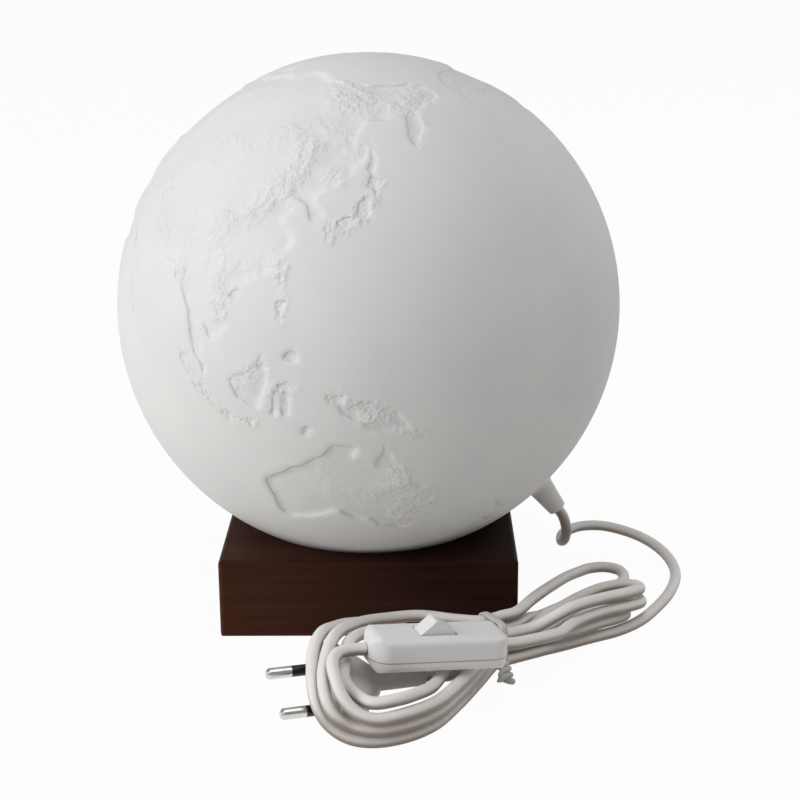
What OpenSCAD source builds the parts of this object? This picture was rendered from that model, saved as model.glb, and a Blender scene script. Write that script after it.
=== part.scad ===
// Globe table lamp: a printed earth globe lies loose in the dish of a wooden block.
// A snap-in lampholder with a small screw bulb fills a port low on the globe's right.
// Its cord runs over the floor to a tied hank that carries an in-line switch and a plug.
// Millimetres, +Z up, +X to the right, origin at the centre of the block's underside.

/* [Base] */
// Side of the square wooden block
base_w = 116; // [104:1:150]
// Height of the block
base_h = 32; // [28:1:50]
// Radius of the block's eased edges
base_edge = 2; // [0.8:0.1:4]
// How deep the globe lies in the block's dish
globe_sink = 13; // [9:0.5:13.5]

/* [Globe] */
// Outer diameter of the sea surface
globe_d = 200; // [190:1:240]
// Wall of the globe
globe_wall = 2; // [1.8:0.1:4]
// Depth of the land below the sea's surface
relief_h = 1; // [0.4:0.1:1.2]
// Height of the wooded country over the open land
wood_h = 0.5; // [0.2:0.1:0.6]
// Gap between the sea's surface and the dish
seat_gap = 0.3; // [0.2:0.05:0.6]
// Port for the lampholder
port_d = 27; // [26.6:0.1:27.5]

/* [Lampholder] */
// Angle of the holder's axis from straight down
holder_polar = 41.4; // [41.4:0.2:46]
// Angle of the holder's axis round the globe, from the right
holder_turn = 16.4; // [0:0.2:30]
// Outer diameter of the holder's skirt
skirt_d = 26; // [25:0.1:26.4]
// Wall of the skirt
skirt_wall = 1.3; // [1:0.1:1.6]
// Length of the skirt inside the globe
skirt_len = 36; // [34:0.5:42]
// Diameter of the flange that stops at the port
flange_d = 28; // [27.8:0.1:28.4]
// Thickness of the flange
flange_t = 2; // [1.6:0.1:2.2]
// Length of the insert that carries the contacts
insert_len = 14; // [12:0.5:15]
// Length of the domed cap
cap_len = 10.6; // [10.6:0.1:12]
// Wall of the domed cap
cap_wall = 1.2; // [0.8:0.1:1.5]
// Length of the cord boot
boot_len = 14.4; // [12:0.2:16]
// Diameter of the boot at the cap
boot_d = 12; // [11:0.2:12.6]
// Diameter of the boot at its tip
boot_tip_d = 8; // [7:0.2:9]
// How far the boot droops from the holder's axis
boot_droop = 5; // [0:0.5:7]
// Thickness of the spring clips
clip_t = 0.3; // [0.2:0.05:0.35]

/* [Bulb] */
// Diameter of the bulb's envelope
bulb_d = 22; // [18:0.5:24]
// Length of the bulb from its contact to its crown
bulb_len = 58; // [54:0.5:66]
// Diameter of the bulb's screw cap
screw_d = 13.8; // [13.5:0.1:13.9]
// Length of the bulb's screw cap
screw_len = 21; // [19:0.5:22]

/* [Switch] */
// Length of the switch body
switch_l = 52; // [51:0.5:54]
// Width of the switch body
switch_w = 18; // [17:0.5:19]
// Height of the switch body
switch_h = 12; // [11.5:0.1:12.5]
// Wall of the switch shells
switch_wall = 1.6; // [1.2:0.1:2]
// Height of the lower shell
switch_seam = 4; // [3.6:0.1:4.5]
// Length of the rocker
rocker_l = 13.4; // [12:0.2:14]
// Width of the rocker
rocker_w = 7.4; // [6.6:0.2:8.4]
// Height of the rocker's ridge over the switch
rocker_peak = 5; // [3:0.2:6]
// Tilt of the rocker from the middle, on either side
rocker_tilt = 7; // [4:0.5:8]
// Diameter of the rocker's pin
rocker_pin_d = 2; // [1.6:0.1:2.4]

/* [Plug] */
// Width of the plug's face
plug_w = 35.3; // [33:0.1:35.5]
// Thickness of the plug's face
plug_t = 13.7; // [12.5:0.1:13.8]
// Length of the plug's wide body
plug_l = 19; // [18:0.5:20]
// Diameter of the plug's neck
neck_d = 7; // [6:0.1:7.4]
// Pin diameter
pin_d = 4; // [3.8:0.1:4.2]
// Pin length in front of the face
pin_len = 19; // [18:0.5:20]
// Length of the sleeve on each pin
sleeve_len = 10; // [8:0.5:12]
// Distance between the pins
pin_span = 18.6; // [17.5:0.1:19.2]

/* [Cord] */
// Diameter of the round cord
cord_d = 4.5; // [4.2:0.1:4.6]
// Distance between strands that lie side by side
cord_pitch = 5.1; // [5:0.05:5.1]
// Thickness of the tie's band
tie_t = 0.9; // [0.5:0.1:1]
// Width of the tie's band
tie_w = 3; // [2:0.5:4]

/* [Hidden] */
$fn = 64;

// clearance between pieces that seat in each other
fit = 0.1;
globe_r = globe_d/2;
globe_z = base_h + globe_r - globe_sink;
dish_r = globe_r + seat_gap;
globe_fn = 72;
cord_r = cord_d/2;

// the earth's turn in the lamp's frame
earth_turn = [-3.68, -2.31, 132.08];

// the holder leans far enough out for its cap to clear the block's top edge
cap_clear = 12.1;
edge_out = base_w/2/cos(holder_turn);
edge_down = globe_r - globe_sink;
holder_lean = max(holder_polar, atan2(edge_out, edge_down)
    + asin(cap_clear/norm([edge_out, edge_down])));

// places along the holder's axis, outwards from the globe's centre
skirt_r = skirt_d/2;
skirt_in = skirt_r - skirt_wall;
flange_a = sqrt(pow(globe_r, 2) - pow(port_d/2, 2)) + seat_gap;
face_a = flange_a + flange_t;
insert_a = face_a - insert_len;
cap_r = flange_d/2 - 0.8;
boot_a = face_a + cap_len;
shell_t = 0.4;
shell_in = screw_d/2 + 0.3;
shell_len = screw_len + 2;
contact_rise = 2;
tip_a = insert_a - contact_rise - 0.1;
tip_len = 1.6;
insulator_len = 2.4;
screw_a = tip_a - tip_len - insulator_len;
collar_a = screw_a - screw_len;
collar_len = 12;
crown_a = tip_a - bulb_len;
envelope_t = 1;
post_h = 3.5;
post_x = 6;
grip_a = face_a + 5.6;
grip_t = 2;
grip_r = 6.6;
wire_d = 1.6;

// outlines of the lands, as longitude and latitude in degrees
LANDS = [
    // Africa and Madagascar
    [[-17, 15], [-16, 24], [-10, 30], [-6, 36], [10, 37], [11, 33], [20, 31], [32, 31], [35, 28],
        [39, 16], [43, 11], [51, 12], [46, 2], [40, -5], [41, -15], [35, -20], [35, -24], [32, -29],
        [26, -34], [18, -34], [12, -17], [13, -8], [9, 0], [9, 4], [3, 6], [-8, 4], [-13, 9]],
    [[44, -17], [50, -15], [50, -18], [47, -25], [44, -23]],
    // Europe and Asia, from Portugal round the north and east and back
    [[-9, 37], [-9, 43], [-2, 43], [-4, 48], [2, 51], [8, 54], [9, 57], [11, 54], [19, 54], [22, 58],
        [29, 60], [22, 61], [25, 65], [17, 62], [18, 59], [13, 56], [5, 59], [6, 63], [15, 68],
        [27, 71], [40, 67], [60, 69], [68, 73], [80, 73], [100, 77], [113, 74], [130, 72],
        [150, 71], [170, 70], [179, 68], [178, 64], [163, 60], [162, 55], [157, 51], [156, 57],
        [160, 61], [150, 59], [142, 59], [137, 54], [141, 52], [140, 48], [132, 43], [127, 40],
        [129, 36], [126, 35], [125, 39], [122, 40], [118, 39], [122, 37], [119, 35], [122, 31],
        [121, 28], [117, 24], [110, 21], [106, 18], [109, 12], [105, 9], [102, 12], [100, 12],
        [104, 3], [103, 1], [99, 8], [98, 15], [95, 16], [92, 22], [87, 22], [80, 15], [77, 8],
        [73, 16], [70, 21], [66, 25], [57, 26], [48, 30], [51, 25], [56, 25.5], [59, 22],
        [52, 17], [43, 13], [35, 31], [36, 37], [27, 37], [26, 40], [22, 37], [19, 42],
        [13, 45], [18, 40], [16, 38], [10, 44], [3, 43], [0, 40], [-2, 37]],
    // Ceylon, Hainan, Formosa and Sakhalin
    [[80, 9], [82, 7], [80, 6]],
    [[109, 19], [111, 20], [110, 18]],
    [[120, 23], [122, 25], [121, 22]],
    [[142, 54], [144, 49], [142, 46]],
    // Japan
    [[130, 33], [132, 33], [131, 31]],
    [[131, 34], [136, 36], [140, 41], [142, 39], [140, 35], [136, 34]],
    [[140, 42], [142, 45], [145, 43], [143, 42]],
    // Philippines
    [[120, 18], [122, 18], [122, 14], [124, 13], [120, 14]],
    [[122, 7], [125, 9], [126, 7], [125, 6]],
    // Sunda islands, Borneo, Celebes and Timor
    [[95, 5], [98, 4], [104, -2], [106, -6], [102, -4], [98, 1]],
    [[105, -6], [108, -6.5], [114, -7], [114, -8.5], [108, -8]],
    [[109, 1], [111, 2], [115, 5], [117, 7], [119, 5], [118, 1], [116, -4], [111, -3]],
    [[119, -5], [119, -2], [120, 1], [125, 1.5], [120.5, 0], [123, -1], [122, -5], [121, -3]],
    [[124, -10], [126, -8], [127, -8.5]],
    // New Guinea, Australia, Tasmania and New Zealand
    [[131, -1], [134, -1], [135, -3], [138, -2], [145, -4], [148, -8], [151, -10], [147, -9],
        [143, -9], [138, -8], [138, -6], [133, -4]],
    [[114, -22], [122, -18], [129, -15], [131, -12], [136, -12], [136, -15], [140, -17.5],
        [142, -11], [146, -19], [153, -26], [153, -31], [150, -37], [145, -39], [140, -37],
        [138, -34], [135, -35], [131, -31], [124, -33], [118, -35], [115, -34], [114, -27]],
    [[145, -41], [148, -41], [147, -43.5]],
    [[173, -35], [178, -38], [175, -41.5], [174, -39]],
    [[173, -41], [174, -42], [171, -46], [167, -46]],
    // northern and central America
    [[-165, 60], [-166, 68], [-156, 71], [-128, 70], [-110, 68], [-95, 69], [-82, 69], [-94, 61],
        [-92, 57], [-82, 55], [-79, 52], [-79, 58], [-78, 62], [-70, 62], [-65, 59], [-56, 52],
        [-65, 50], [-60, 46], [-70, 43], [-75, 38], [-76, 35], [-81, 31], [-80, 25], [-84, 30],
        [-90, 30], [-97, 28], [-97, 22], [-95, 18], [-90, 21], [-87, 21], [-88, 16], [-83, 15],
        [-82, 9], [-77, 8], [-80, 7], [-86, 12], [-94, 16], [-105, 20], [-112, 30], [-117, 33],
        [-124, 40], [-124, 48], [-133, 56], [-145, 60], [-155, 59]],
    [[-80, 73], [-68, 70], [-62, 66], [-68, 63], [-78, 65]],
    [[-92, 77], [-74, 83], [-68, 82], [-82, 76]],
    [[-70, 78], [-58, 82], [-30, 83], [-18, 78], [-22, 70], [-40, 65], [-44, 60], [-52, 65],
        [-54, 70], [-68, 76]],
    [[-84, 22], [-75, 20.5], [-77, 20]],
    // southern America
    [[-80, 1], [-78, 7], [-72, 12], [-62, 10], [-51, 4], [-48, -1], [-35, -6], [-39, -15],
        [-41, -22], [-48, -27], [-54, -34], [-57, -38], [-62, -39], [-65, -43], [-66, -48],
        [-69, -52], [-68, -55], [-74, -52], [-74, -42], [-71, -30], [-70, -18], [-76, -14],
        [-81, -6]],
    // Britain, Iceland and Novaya Zemlya
    [[-5, 50], [1, 51], [0, 53], [-2, 56], [-4, 58.5], [-6, 56], [-3, 54]],
    [[-22, 64], [-14, 65], [-16, 66.5], [-24, 65.5]],
    [[53, 71], [68, 77], [56, 73]]];

// the southern continent, drawn round the pole
SOUTH = [[-60, -64], [-60, -75], [-20, -74], [0, -70], [30, -69], [60, -67], [90, -66], [120, -67],
    [150, -68], [170, -72], [165, -78], [-160, -78], [-120, -74], [-90, -73], [-70, -71]];

// wooded country, where the print is thicker than in the open land
WOODS = [
    [[118, 42], [121, 50], [134, 50], [131, 44], [124, 41]],
    [[113, 57], [124, 69], [140, 69], [139, 61], [130, 56]],
    [[145, 62], [150, 69], [170, 67], [165, 62]],
    [[100, 14], [98, 24], [108, 31], [118, 30], [116, 25], [107, 21], [105, 17]],
    [[135, 34.8], [139, 38], [140.5, 39], [139.5, 36]],
    [[112, 1], [116, 4], [117, 1], [114, -2]],
    [[137, -4], [141, -4], [146, -7], [142, -6]],
    [[144, -18], [151, -26], [151, -31], [147, -37], [143, -34], [147, -27]],
    [[12, 3], [28, 4], [30, -4], [16, -6]],
    [[8, 50], [18, 50], [30, 55], [28, 50], [22, 46], [12, 47.5]],
    [[-76, 2], [-60, 5], [-52, 0], [-55, -10], [-70, -14]],
    [[-95, 32], [-92, 46], [-72, 44], [-79, 38], [-84, 33]],
    [[-122, 42], [-124, 50], [-130, 57], [-118, 56], [-116, 46]]];

// Turns a longitude and latitude into the plane that touches the globe at the centre c.
function on_plane(p, c) = globe_r*[
    sin(c[1])*cos(p[1])*cos(p[0] - c[0]) - cos(c[1])*sin(p[1]),
    cos(p[1])*sin(p[0] - c[0])];
// Height of the point over the plane through the globe's middle, facing c.
function over_middle(p, c) = globe_r*(sin(c[1])*sin(p[1])
    + cos(c[1])*cos(p[1])*cos(p[0] - c[0]));
// Longitude and latitude of the outline's middle, by the mean of its points in space.
function middle(outline) = let (v = mean([for (p = outline)
    [cos(p[1])*cos(p[0]), cos(p[1])*sin(p[0]), sin(p[1])]]))
    [atan2(v[1], v[0]), asin(v[2]/norm(v))];
function mean(points) = [for (i = [0:2]) [for (p = points) p[i]]*[for (p = points) 1/len(points)]];

// one land's outline as a prism that stands through the globe's surface, to sink the land
module land(outline, c) {
    low = min([for (p = outline) over_middle(p, c)]) - 3;
    rotate([0, 90 - c[1], c[0]]) translate([0, 0, low])
        linear_extrude(globe_r + 4 - low) polygon([for (p = outline) on_plane(p, c)]);
}

module rounded_square(w, h, r) {
    square([w - 2*r, h], center = true);
    square([w, h - 2*r], center = true);
    for (x = [-1, 1], y = [-1, 1])
        translate([x*(w/2 - r), y*(h/2 - r)]) circle(r);
}

// a block whose edges are all eased, centred on the origin
module eased_block(l, w, h, r_plan, r_edge) {
    intersection() {
        linear_extrude(h, center = true) rounded_square(l, w, r_plan);
        rotate([90, 0, 0]) linear_extrude(w + 1, center = true) rounded_square(l, h, r_edge);
        rotate([90, 0, 90]) linear_extrude(l + 1, center = true) rounded_square(w, h, r_edge);
    }
}

module ring(r_out, r_in, h) {
    difference() {
        cylinder(r = r_out, h = h);
        translate([0, 0, -1]) cylinder(r = r_in, h = h + 2);
    }
}

module base_block() {
    color("saddlebrown") difference() {
        translate([0, 0, base_h/2]) eased_block(base_w, base_w, base_h, base_edge, base_edge);
        translate([0, 0, globe_z]) sphere(dish_r, $fn = globe_fn);
    }
}

module at_globe() { translate([0, 0, globe_z]) children(); }

// the holder's frame: +Z runs outwards along its axis from the globe's centre
module at_holder() { at_globe() rotate([0, 180 - holder_lean, holder_turn]) children(); }

// a ball about the globe's middle, with its seam in the open ocean
module ball(r) { rotate([0, 0, 187]) sphere(r, $fn = globe_fn); }

module globe_shell() {
    color("white") difference() {
        at_globe() rotate(earth_turn) union() {
            difference() {
                ball(globe_r);
                for (o = LANDS) land(o, middle(o));
                land(SOUTH, [0, -90]);
            }
            ball(globe_r - relief_h);
            intersection() {
                ball(globe_r - relief_h + wood_h);
                union() for (o = WOODS) land(o, middle(o));
            }
        }
        at_globe() ball(globe_r - globe_wall);
        at_holder() translate([0, 0, globe_r/2]) cylinder(d = port_d, h = globe_r);
    }
}

module holder_skirt() {
    color("whitesmoke") at_holder() rotate_extrude() polygon([
        [skirt_in, flange_a - skirt_len], [skirt_r, flange_a - skirt_len], [skirt_r, flange_a],
        [flange_d/2, flange_a], [flange_d/2, face_a], [skirt_in, face_a]]);
}

// two bowed strips that snap behind the port's edge
module clip_springs() {
    foot = skirt_r + 0.05;
    bow = skirt_r + 4;
    low_a = flange_a - skirt_len + 8;
    tail = skirt_len/6;
    top_a = flange_a - globe_wall - 1.2;
    color("silver") at_holder() for (side = [0, 180]) rotate([0, 0, side])
        rotate([90, 0, 0]) linear_extrude(skirt_d*3/13, center = true) polygon([
            [foot, low_a], [foot + clip_t, low_a], [foot + clip_t, low_a + tail],
            [bow + clip_t, top_a - 4], [bow - 1, top_a], [bow - 1 - clip_t, top_a - 0.3],
            [bow, top_a - 4], [foot, low_a + tail + 0.4]]);
}

module holder_insert() {
    color("ivory") at_holder() difference() {
        translate([0, 0, insert_a]) cylinder(r = skirt_in - fit, h = insert_len);
        translate([0, 0, insert_a - 1]) cylinder(d = 3.2, h = insert_len + 2);
        translate([0, 5.6, insert_a + insert_len/2]) cube([3.4, 0.9, insert_len + 2], center = true);
    }
}

module screw_shell() {
    low_a = insert_a - shell_len;
    color("goldenrod") at_holder() rotate_extrude() polygon([
        [4, insert_a - shell_t], [shell_in, insert_a - shell_t], [shell_in, low_a + 1],
        [shell_in + 0.8, low_a], [shell_in + 0.8 + shell_t, low_a + 0.2],
        [shell_in + shell_t, low_a + 1.4], [shell_in + shell_t, insert_a], [4, insert_a]]);
}

// rivet through the insert with a bent tongue that meets the bulb's tip
module centre_contact() {
    color("goldenrod") at_holder() {
        translate([0, 0, insert_a - 0.5]) cylinder(d = 3, h = insert_len + 1.2);
        translate([0, 0, insert_a - 0.5]) cylinder(d = 5, h = 0.5);
        rotate([90, 0, 0]) linear_extrude(3, center = true) polygon([
            [-2.4, insert_a - 0.2], [-2.4, insert_a - 0.9], [2, insert_a - contact_rise],
            [2.6, insert_a - contact_rise], [2.6, insert_a - contact_rise + 0.4],
            [2, insert_a - contact_rise + 0.4], [0, insert_a - 0.2]]);
    }
}

module side_contact() {
    y = 5.6;
    color("goldenrod") at_holder() {
        translate([-1.6, y - 0.3, insert_a]) cube([3.2, 0.6, insert_len + 0.6]);
        translate([-post_x + 2.6, y - 0.3, face_a]) cube([post_x - 2.6, 0.6, 2]);
    }
}

module at_posts() {
    at_holder() for (side = [0, 180]) rotate([0, 0, side]) translate([post_x, 0, face_a])
        children();
}

module terminal_posts() {
    color("goldenrod") at_posts() difference() {
        translate([-2.5, -2, 0]) cube([5, 4, post_h]);
        translate([-0.8, 0, -1]) cylinder(d = 1.9, h = post_h + 2);
        translate([0, 0, post_h/2]) rotate([0, 90, 0]) cylinder(d = 1.6, h = 4);
    }
}

module terminal_screws() {
    color("silver") at_posts() translate([0, 0, post_h/2]) rotate([0, 90, 0]) {
        translate([0, 0, 0.5]) cylinder(d = 1.5, h = 2.5);
        difference() {
            translate([0, 0, 2.6]) cylinder(d = 3, h = 1.1);
            translate([0, 0, 3.6]) cube([4, 0.5, 0.8], center = true);
        }
    }
}

module holder_wires() {
    color("sienna") at_holder() for (side = [0, 180]) rotate([0, 0, side])
        tube([[1.1, 0, grip_a - 0.05], [1.1, 0, grip_a - 0.45], [1.9, 0, grip_a - 0.9],
            [4.2, 0, face_a + post_h + 0.8],
            [post_x - 0.8, 0, face_a + post_h - 0.1], [post_x - 0.8, 0, face_a + 0.6]], wire_d, 8);
}

module cord_grip() {
    color("whitesmoke") at_holder() translate([0, 0, grip_a]) ring(grip_r, cord_r + 0.05, grip_t);
}

function cap_at(s) = boot_d/2 + (cap_r - boot_d/2)*(1 - pow(s, 1.6));
module holder_cap() {
    n = 12;
    outer = [for (i = [0:n]) [cap_at(i/n), face_a + cap_len*i/n]];
    inner = [for (i = [n:-1:0]) [cap_at(i/n) - cap_wall, face_a + (cap_len - cap_wall)*i/n]];
    color("whitesmoke") at_holder() rotate_extrude() polygon(concat(outer,
        [[boot_neck + fit, boot_a], [boot_neck + fit, boot_a - cap_wall]], inner));
}

boot_neck = 4;
module at_boot() { at_holder() translate([0, 0, boot_a]) children(); }

// tapered boot whose collar lies flat on the cap
module cord_boot() {
    color("whitesmoke") at_boot() difference() {
        union() {
            translate([0, 0, -cap_wall]) cylinder(r = boot_neck, h = cap_wall + 0.5);
            cylinder(r1 = boot_d/2, r2 = boot_d/2 - 0.3, h = 1.2);
            rotate([0, boot_droop, 0]) translate([0, 0, 0.6])
                cylinder(r1 = boot_d/2 - 0.4, r2 = boot_tip_d/2, h = boot_len - 0.6);
        }
        translate([0, 0, -3]) cylinder(r = cord_r + 5*fit, h = 4);
        rotate([0, boot_droop, 0]) cylinder(r = cord_r + fit, h = boot_len + 1);
    }
}

// the cord inside the boot and the cap
module cord_tail() {
    s = sin(boot_droop);
    c = cos(boot_droop);
    color("gainsboro") at_boot() tube([[0, 0, grip_a - boot_a], [0, 0, 0.4 - cap_wall],
        [0, 0, 0.2], [0.8*s, 0, 0.8*c], [2*s, 0, 2*c], [boot_len*s, 0, boot_len*c]],
        cord_d - 0.1, 12);
}

module bulb_cap() {
    color("silver") at_holder() rotate_extrude() polygon([
        [screw_d/2 - 0.5, collar_a], [screw_d/2, collar_a], [screw_d/2, screw_a - 1],
        [screw_d/2 - 1, screw_a], [4.6, screw_a], [4.6, screw_a - 0.5],
        [screw_d/2 - 1.2, screw_a - 0.5], [screw_d/2 - 0.5, screw_a - 1.2]]);
}

module bulb_insulator() {
    color("dimgray") at_holder() translate([0, 0, screw_a])
        cylinder(r1 = 5.8, r2 = 2.4, h = insulator_len);
}

module bulb_tip() {
    color("silver") at_holder() translate([0, 0, screw_a + insulator_len])
        cylinder(r1 = 2.3, r2 = 1.5, h = tip_len);
}

module bulb_housing() {
    low_a = collar_a - collar_len;
    color("white") at_holder() rotate_extrude() polygon([
        [0, collar_a - 3], [0, collar_a], [7.6, collar_a], [8.4, collar_a - 2],
        [bulb_d/2, low_a + 3], [bulb_d/2, low_a], [bulb_d/2 - 1.4, low_a],
        [bulb_d/2 - 1.4, low_a + 2.6], [7, collar_a - 3]]);
}

module bulb_led_board() {
    low_a = collar_a - collar_len;
    color("ivory") at_holder() {
        translate([0, 0, low_a + 1]) cylinder(r = bulb_d/2 - 1.5, h = 1.2);
        for (i = [0:5]) rotate([0, 0, 60*i]) translate([bulb_d/4, 0, low_a + 0.6])
            cube([2.4, 1.8, 0.8], center = true);
    }
}

// frosted envelope with a round crown
module bulb_envelope() {
    r = bulb_d/2;
    top_a = collar_a - collar_len;
    n = 16;
    color("snow") at_holder() rotate_extrude() polygon(concat(
        [[r, top_a]], [for (i = [0:n]) [r*cos(90*i/n), crown_a + r - r*sin(90*i/n)]],
        [for (i = [n:-1:0]) [(r - envelope_t)*cos(90*i/n),
            crown_a + r - (r - envelope_t)*sin(90*i/n)]], [[r - envelope_t, top_a]]));
}

// the switch lies on the hank, its right end lower
switch_at = [25.3, -116.95, 23.9];
switch_turn = [0, 6.8, 19.5];
module at_switch() { translate(switch_at) rotate(switch_turn) children(); }
seam_z = switch_seam - switch_h/2;
rocker_x = -1;
pivot_z = switch_h/2 - 3;
window_gap = 0.5;
screw_spots = [[11, -5.2], [-11, 5.2]];

// Body with round ends in plan and in side view, grown by g.
module switch_form(g) {
    l = switch_l + 2*g;
    w = switch_w + 2*g;
    h = switch_h + 2*g;
    intersection() {
        linear_extrude(h, center = true) rounded_square(l, w, switch_w/2 - 2 + g);
        rotate([90, 0, 0]) linear_extrude(w + 1, center = true)
            rounded_square(l, h, switch_h/2 - 2 + g);
        rotate([90, 0, 90]) linear_extrude(l + 1, center = true) rounded_square(w, h, 2.4 + g);
    }
}

module cord_entries(r) {
    for (side = [-1, 1]) translate([side*switch_l/2, 0, 0]) rotate([0, 90, 0])
        cylinder(r = r, h = 12, center = true);
}

module switch_upper() {
    bosses = switch_wall + 0.6;
    color("white") at_switch() difference() {
        union() {
            difference() {
                switch_form(0);
                switch_form(-switch_wall);
            }
            for (p = screw_spots) translate([p[0], p[1], seam_z])
                cylinder(d = 4.6, h = switch_h/2 - seam_z - switch_wall/2);
            for (side = [-1, 1]) translate([rocker_x - 2.5,
                side*(rocker_w/2 + window_gap + bosses/2) - bosses/2, pivot_z - 2])
                cube([5, bosses, 2 + switch_h/2 - pivot_z - switch_wall/2]);
        }
        translate([-switch_l, -switch_w, seam_z - switch_h]) cube([2*switch_l, 2*switch_w, switch_h]);
        translate([rocker_x, 0, switch_h/2]) cube([rocker_l + 2*window_gap,
            rocker_w + 2*window_gap, 2*switch_wall + 3], center = true);
        translate([rocker_x, 0, pivot_z]) rotate([90, 0, 0])
            cylinder(d = rocker_pin_d + 0.1, h = rocker_w + 2*window_gap + 2*bosses - 0.8, center = true);
        cord_entries(cord_r + fit);
        for (p = screw_spots) translate([p[0], p[1], seam_z - 1]) cylinder(d = 2, h = 5);
    }
}

module switch_lower() {
    color("white") at_switch() difference() {
        union() {
            difference() {
                switch_form(0);
                switch_form(-switch_wall);
            }
            for (p = screw_spots) translate([p[0], p[1], -switch_h/2 + switch_wall/2])
                cylinder(d = 4.6, h = seam_z + switch_h/2 - switch_wall/2);
        }
        translate([-switch_l, -switch_w, seam_z]) cube([2*switch_l, 2*switch_w, switch_h]);
        cord_entries(cord_r + fit);
        for (p = screw_spots) translate([p[0], p[1], -switch_h/2]) {
            translate([0, 0, -1]) cylinder(d = 2.4, h = switch_seam + 2);
            translate([0, 0, -1]) cylinder(d = 4, h = 2.2);
        }
    }
}

module switch_screws() {
    color("silver") at_switch() for (p = screw_spots) translate([p[0], p[1], -switch_h/2]) {
        translate([0, 0, 0.1]) cylinder(d = 3.8, h = 1);
        translate([0, 0, 0.5]) cylinder(d = 1.9, h = switch_seam + 3);
    }
}

module rocker_pin() {
    color("silver") at_switch() translate([rocker_x, 0, pivot_z]) rotate([90, 0, 0])
        cylinder(d = rocker_pin_d, h = rocker_w + 2*window_gap + 2*switch_wall, center = true);
}

// ridged rocker, tilted to the side that is pressed in
module switch_rocker() {
    l = rocker_l/2;
    top = switch_h/2 - pivot_z;
    color("white") at_switch() translate([rocker_x, 0, pivot_z]) rotate([0, -rocker_tilt, 0])
        rotate([90, 0, 0]) difference() {
            linear_extrude(rocker_w, center = true) polygon([
                [-l, top - 1.6], [-l + 0.2, top + 0.4], [-1.4, top + rocker_peak - 0.9],
                [-0.5, top + rocker_peak - 0.1], [0.5, top + rocker_peak - 0.1],
                [1.4, top + rocker_peak - 0.9], [l - 0.2, top + 0.4], [l, top - 1.6],
                [3, -2.4], [-3, -2.4]]);
            cylinder(d = rocker_pin_d + 0.1, h = rocker_w + 2, center = true);
        }
}

terminal_x = switch_l/2 - 11;
pan_z = -switch_h/2 + switch_wall;

// sprung bridge under the rocker, between the terminals
module contact_bridge() {
    x = terminal_x - 2.5;
    color("goldenrod") at_switch() rotate([90, 0, 0]) linear_extrude(3, center = true) polygon([
        [-x, pan_z], [x, pan_z], [x, pan_z + 0.4], [4, pan_z + 0.4],
        [0.6, pan_z + 1.4], [-1.4, pan_z + 1.4], [-4.8, pan_z + 0.4], [-x, pan_z + 0.4]]);
}

module switch_terminals() {
    color("goldenrod") at_switch() for (side = [-1, 1]) translate([side*terminal_x, 0, pan_z])
    difference() {
        translate([-2, -2.5, 0]) cube([4, 5, 4]);
        translate([side*0.8, 0, 2.6]) rotate([0, 90, 0]) cylinder(d = 1.9, h = 4, center = true);
    }
}

// ends of the two cords inside the switch, with a core to each terminal
module switch_wires() {
    color("gainsboro") at_switch() for (side = [-1, 1]) {
        translate([side*(switch_l/2 - 3), 0, 0]) rotate([0, 90, 0])
            cylinder(r = cord_r - 0.05, h = 6, center = true);
        tube([[side*(terminal_x + 5.2), 0, 0], [side*(terminal_x + 4.2), 0, -0.2],
            [side*(terminal_x + 3.2), 0, pan_z + 2.9], [side*(terminal_x + 2.4), 0, pan_z + 2.6],
            [side*(terminal_x + 0.6), 0, pan_z + 2.6]], wire_d, 8);
    }
}

// the plug lies under the hank's left loops, tipped on its lower edge
plug_at = [-13.4, -126.2, 12.5];
plug_turn = [22.9, 3.4, 21.8];
neck_end = 37;
pin_root = 8;
module at_plug() { translate(plug_at) rotate(plug_turn) children(); }
module plug_slice(x, w, t, r, h) {
    translate([x, 0, 0]) rotate([90, 0, 90]) linear_extrude(h) rounded_square(w, t, r);
}

module plug_body() {
    color("whitesmoke") at_plug() difference() {
        union() {
            hull() {
                plug_slice(0, plug_w - 1.2, plug_t - 1.2, 4.6, 0.6, $fn = 32);
                plug_slice(0.6, plug_w, plug_t, 5, 6.4, $fn = 32);
                plug_slice(plug_l - 1, 10, 8, 3.6, 1, $fn = 32);
            }
            rotate([0, 90, 0]) cylinder(d = neck_d, h = neck_end);
        }
        for (side = [-1, 1]) translate([0, side*pin_span/2, 0]) rotate([0, 90, 0])
            cylinder(d = pin_d - 1, h = 2*pin_root, center = true);
    }
}

module plug_pins() {
    color("silver") at_plug() for (side = [-1, 1]) translate([0, side*pin_span/2, 0])
        rotate([0, -90, 0]) {
            translate([0, 0, -pin_root]) cylinder(d = pin_d - 1, h = pin_root + sleeve_len + 1);
            translate([0, 0, sleeve_len]) cylinder(d = pin_d, h = pin_len - sleeve_len - 1);
            translate([0, 0, pin_len - 1]) cylinder(d1 = pin_d, d2 = pin_d - 1.4, h = 1);
        }
}

module pin_sleeves() {
    color("black") at_plug() for (side = [-1, 1]) translate([0, side*pin_span/2, 0])
        rotate([0, -90, 0]) ring(pin_d/2, pin_d/2 - 0.5, sleeve_len);
}

// The cord's routes. Points are the cord's middle line.
floor_z = 2.4;
waist_at = [54, -78];
waist_turn = 30;
waist_z = cord_r + tie_t + 0.15;
// the tie's place along the bundle, from the waist's middle
tie_a = -8;
// the strands lie side by side up to here on the bundle's left
waist_left = -9.5;

// a place a along and c across the bundle, from the waist's middle
function from_waist(a, c, z) = [
    waist_at[0] + a*cos(waist_turn) - c*sin(waist_turn),
    waist_at[1] + a*sin(waist_turn) + c*cos(waist_turn), z];
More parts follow.
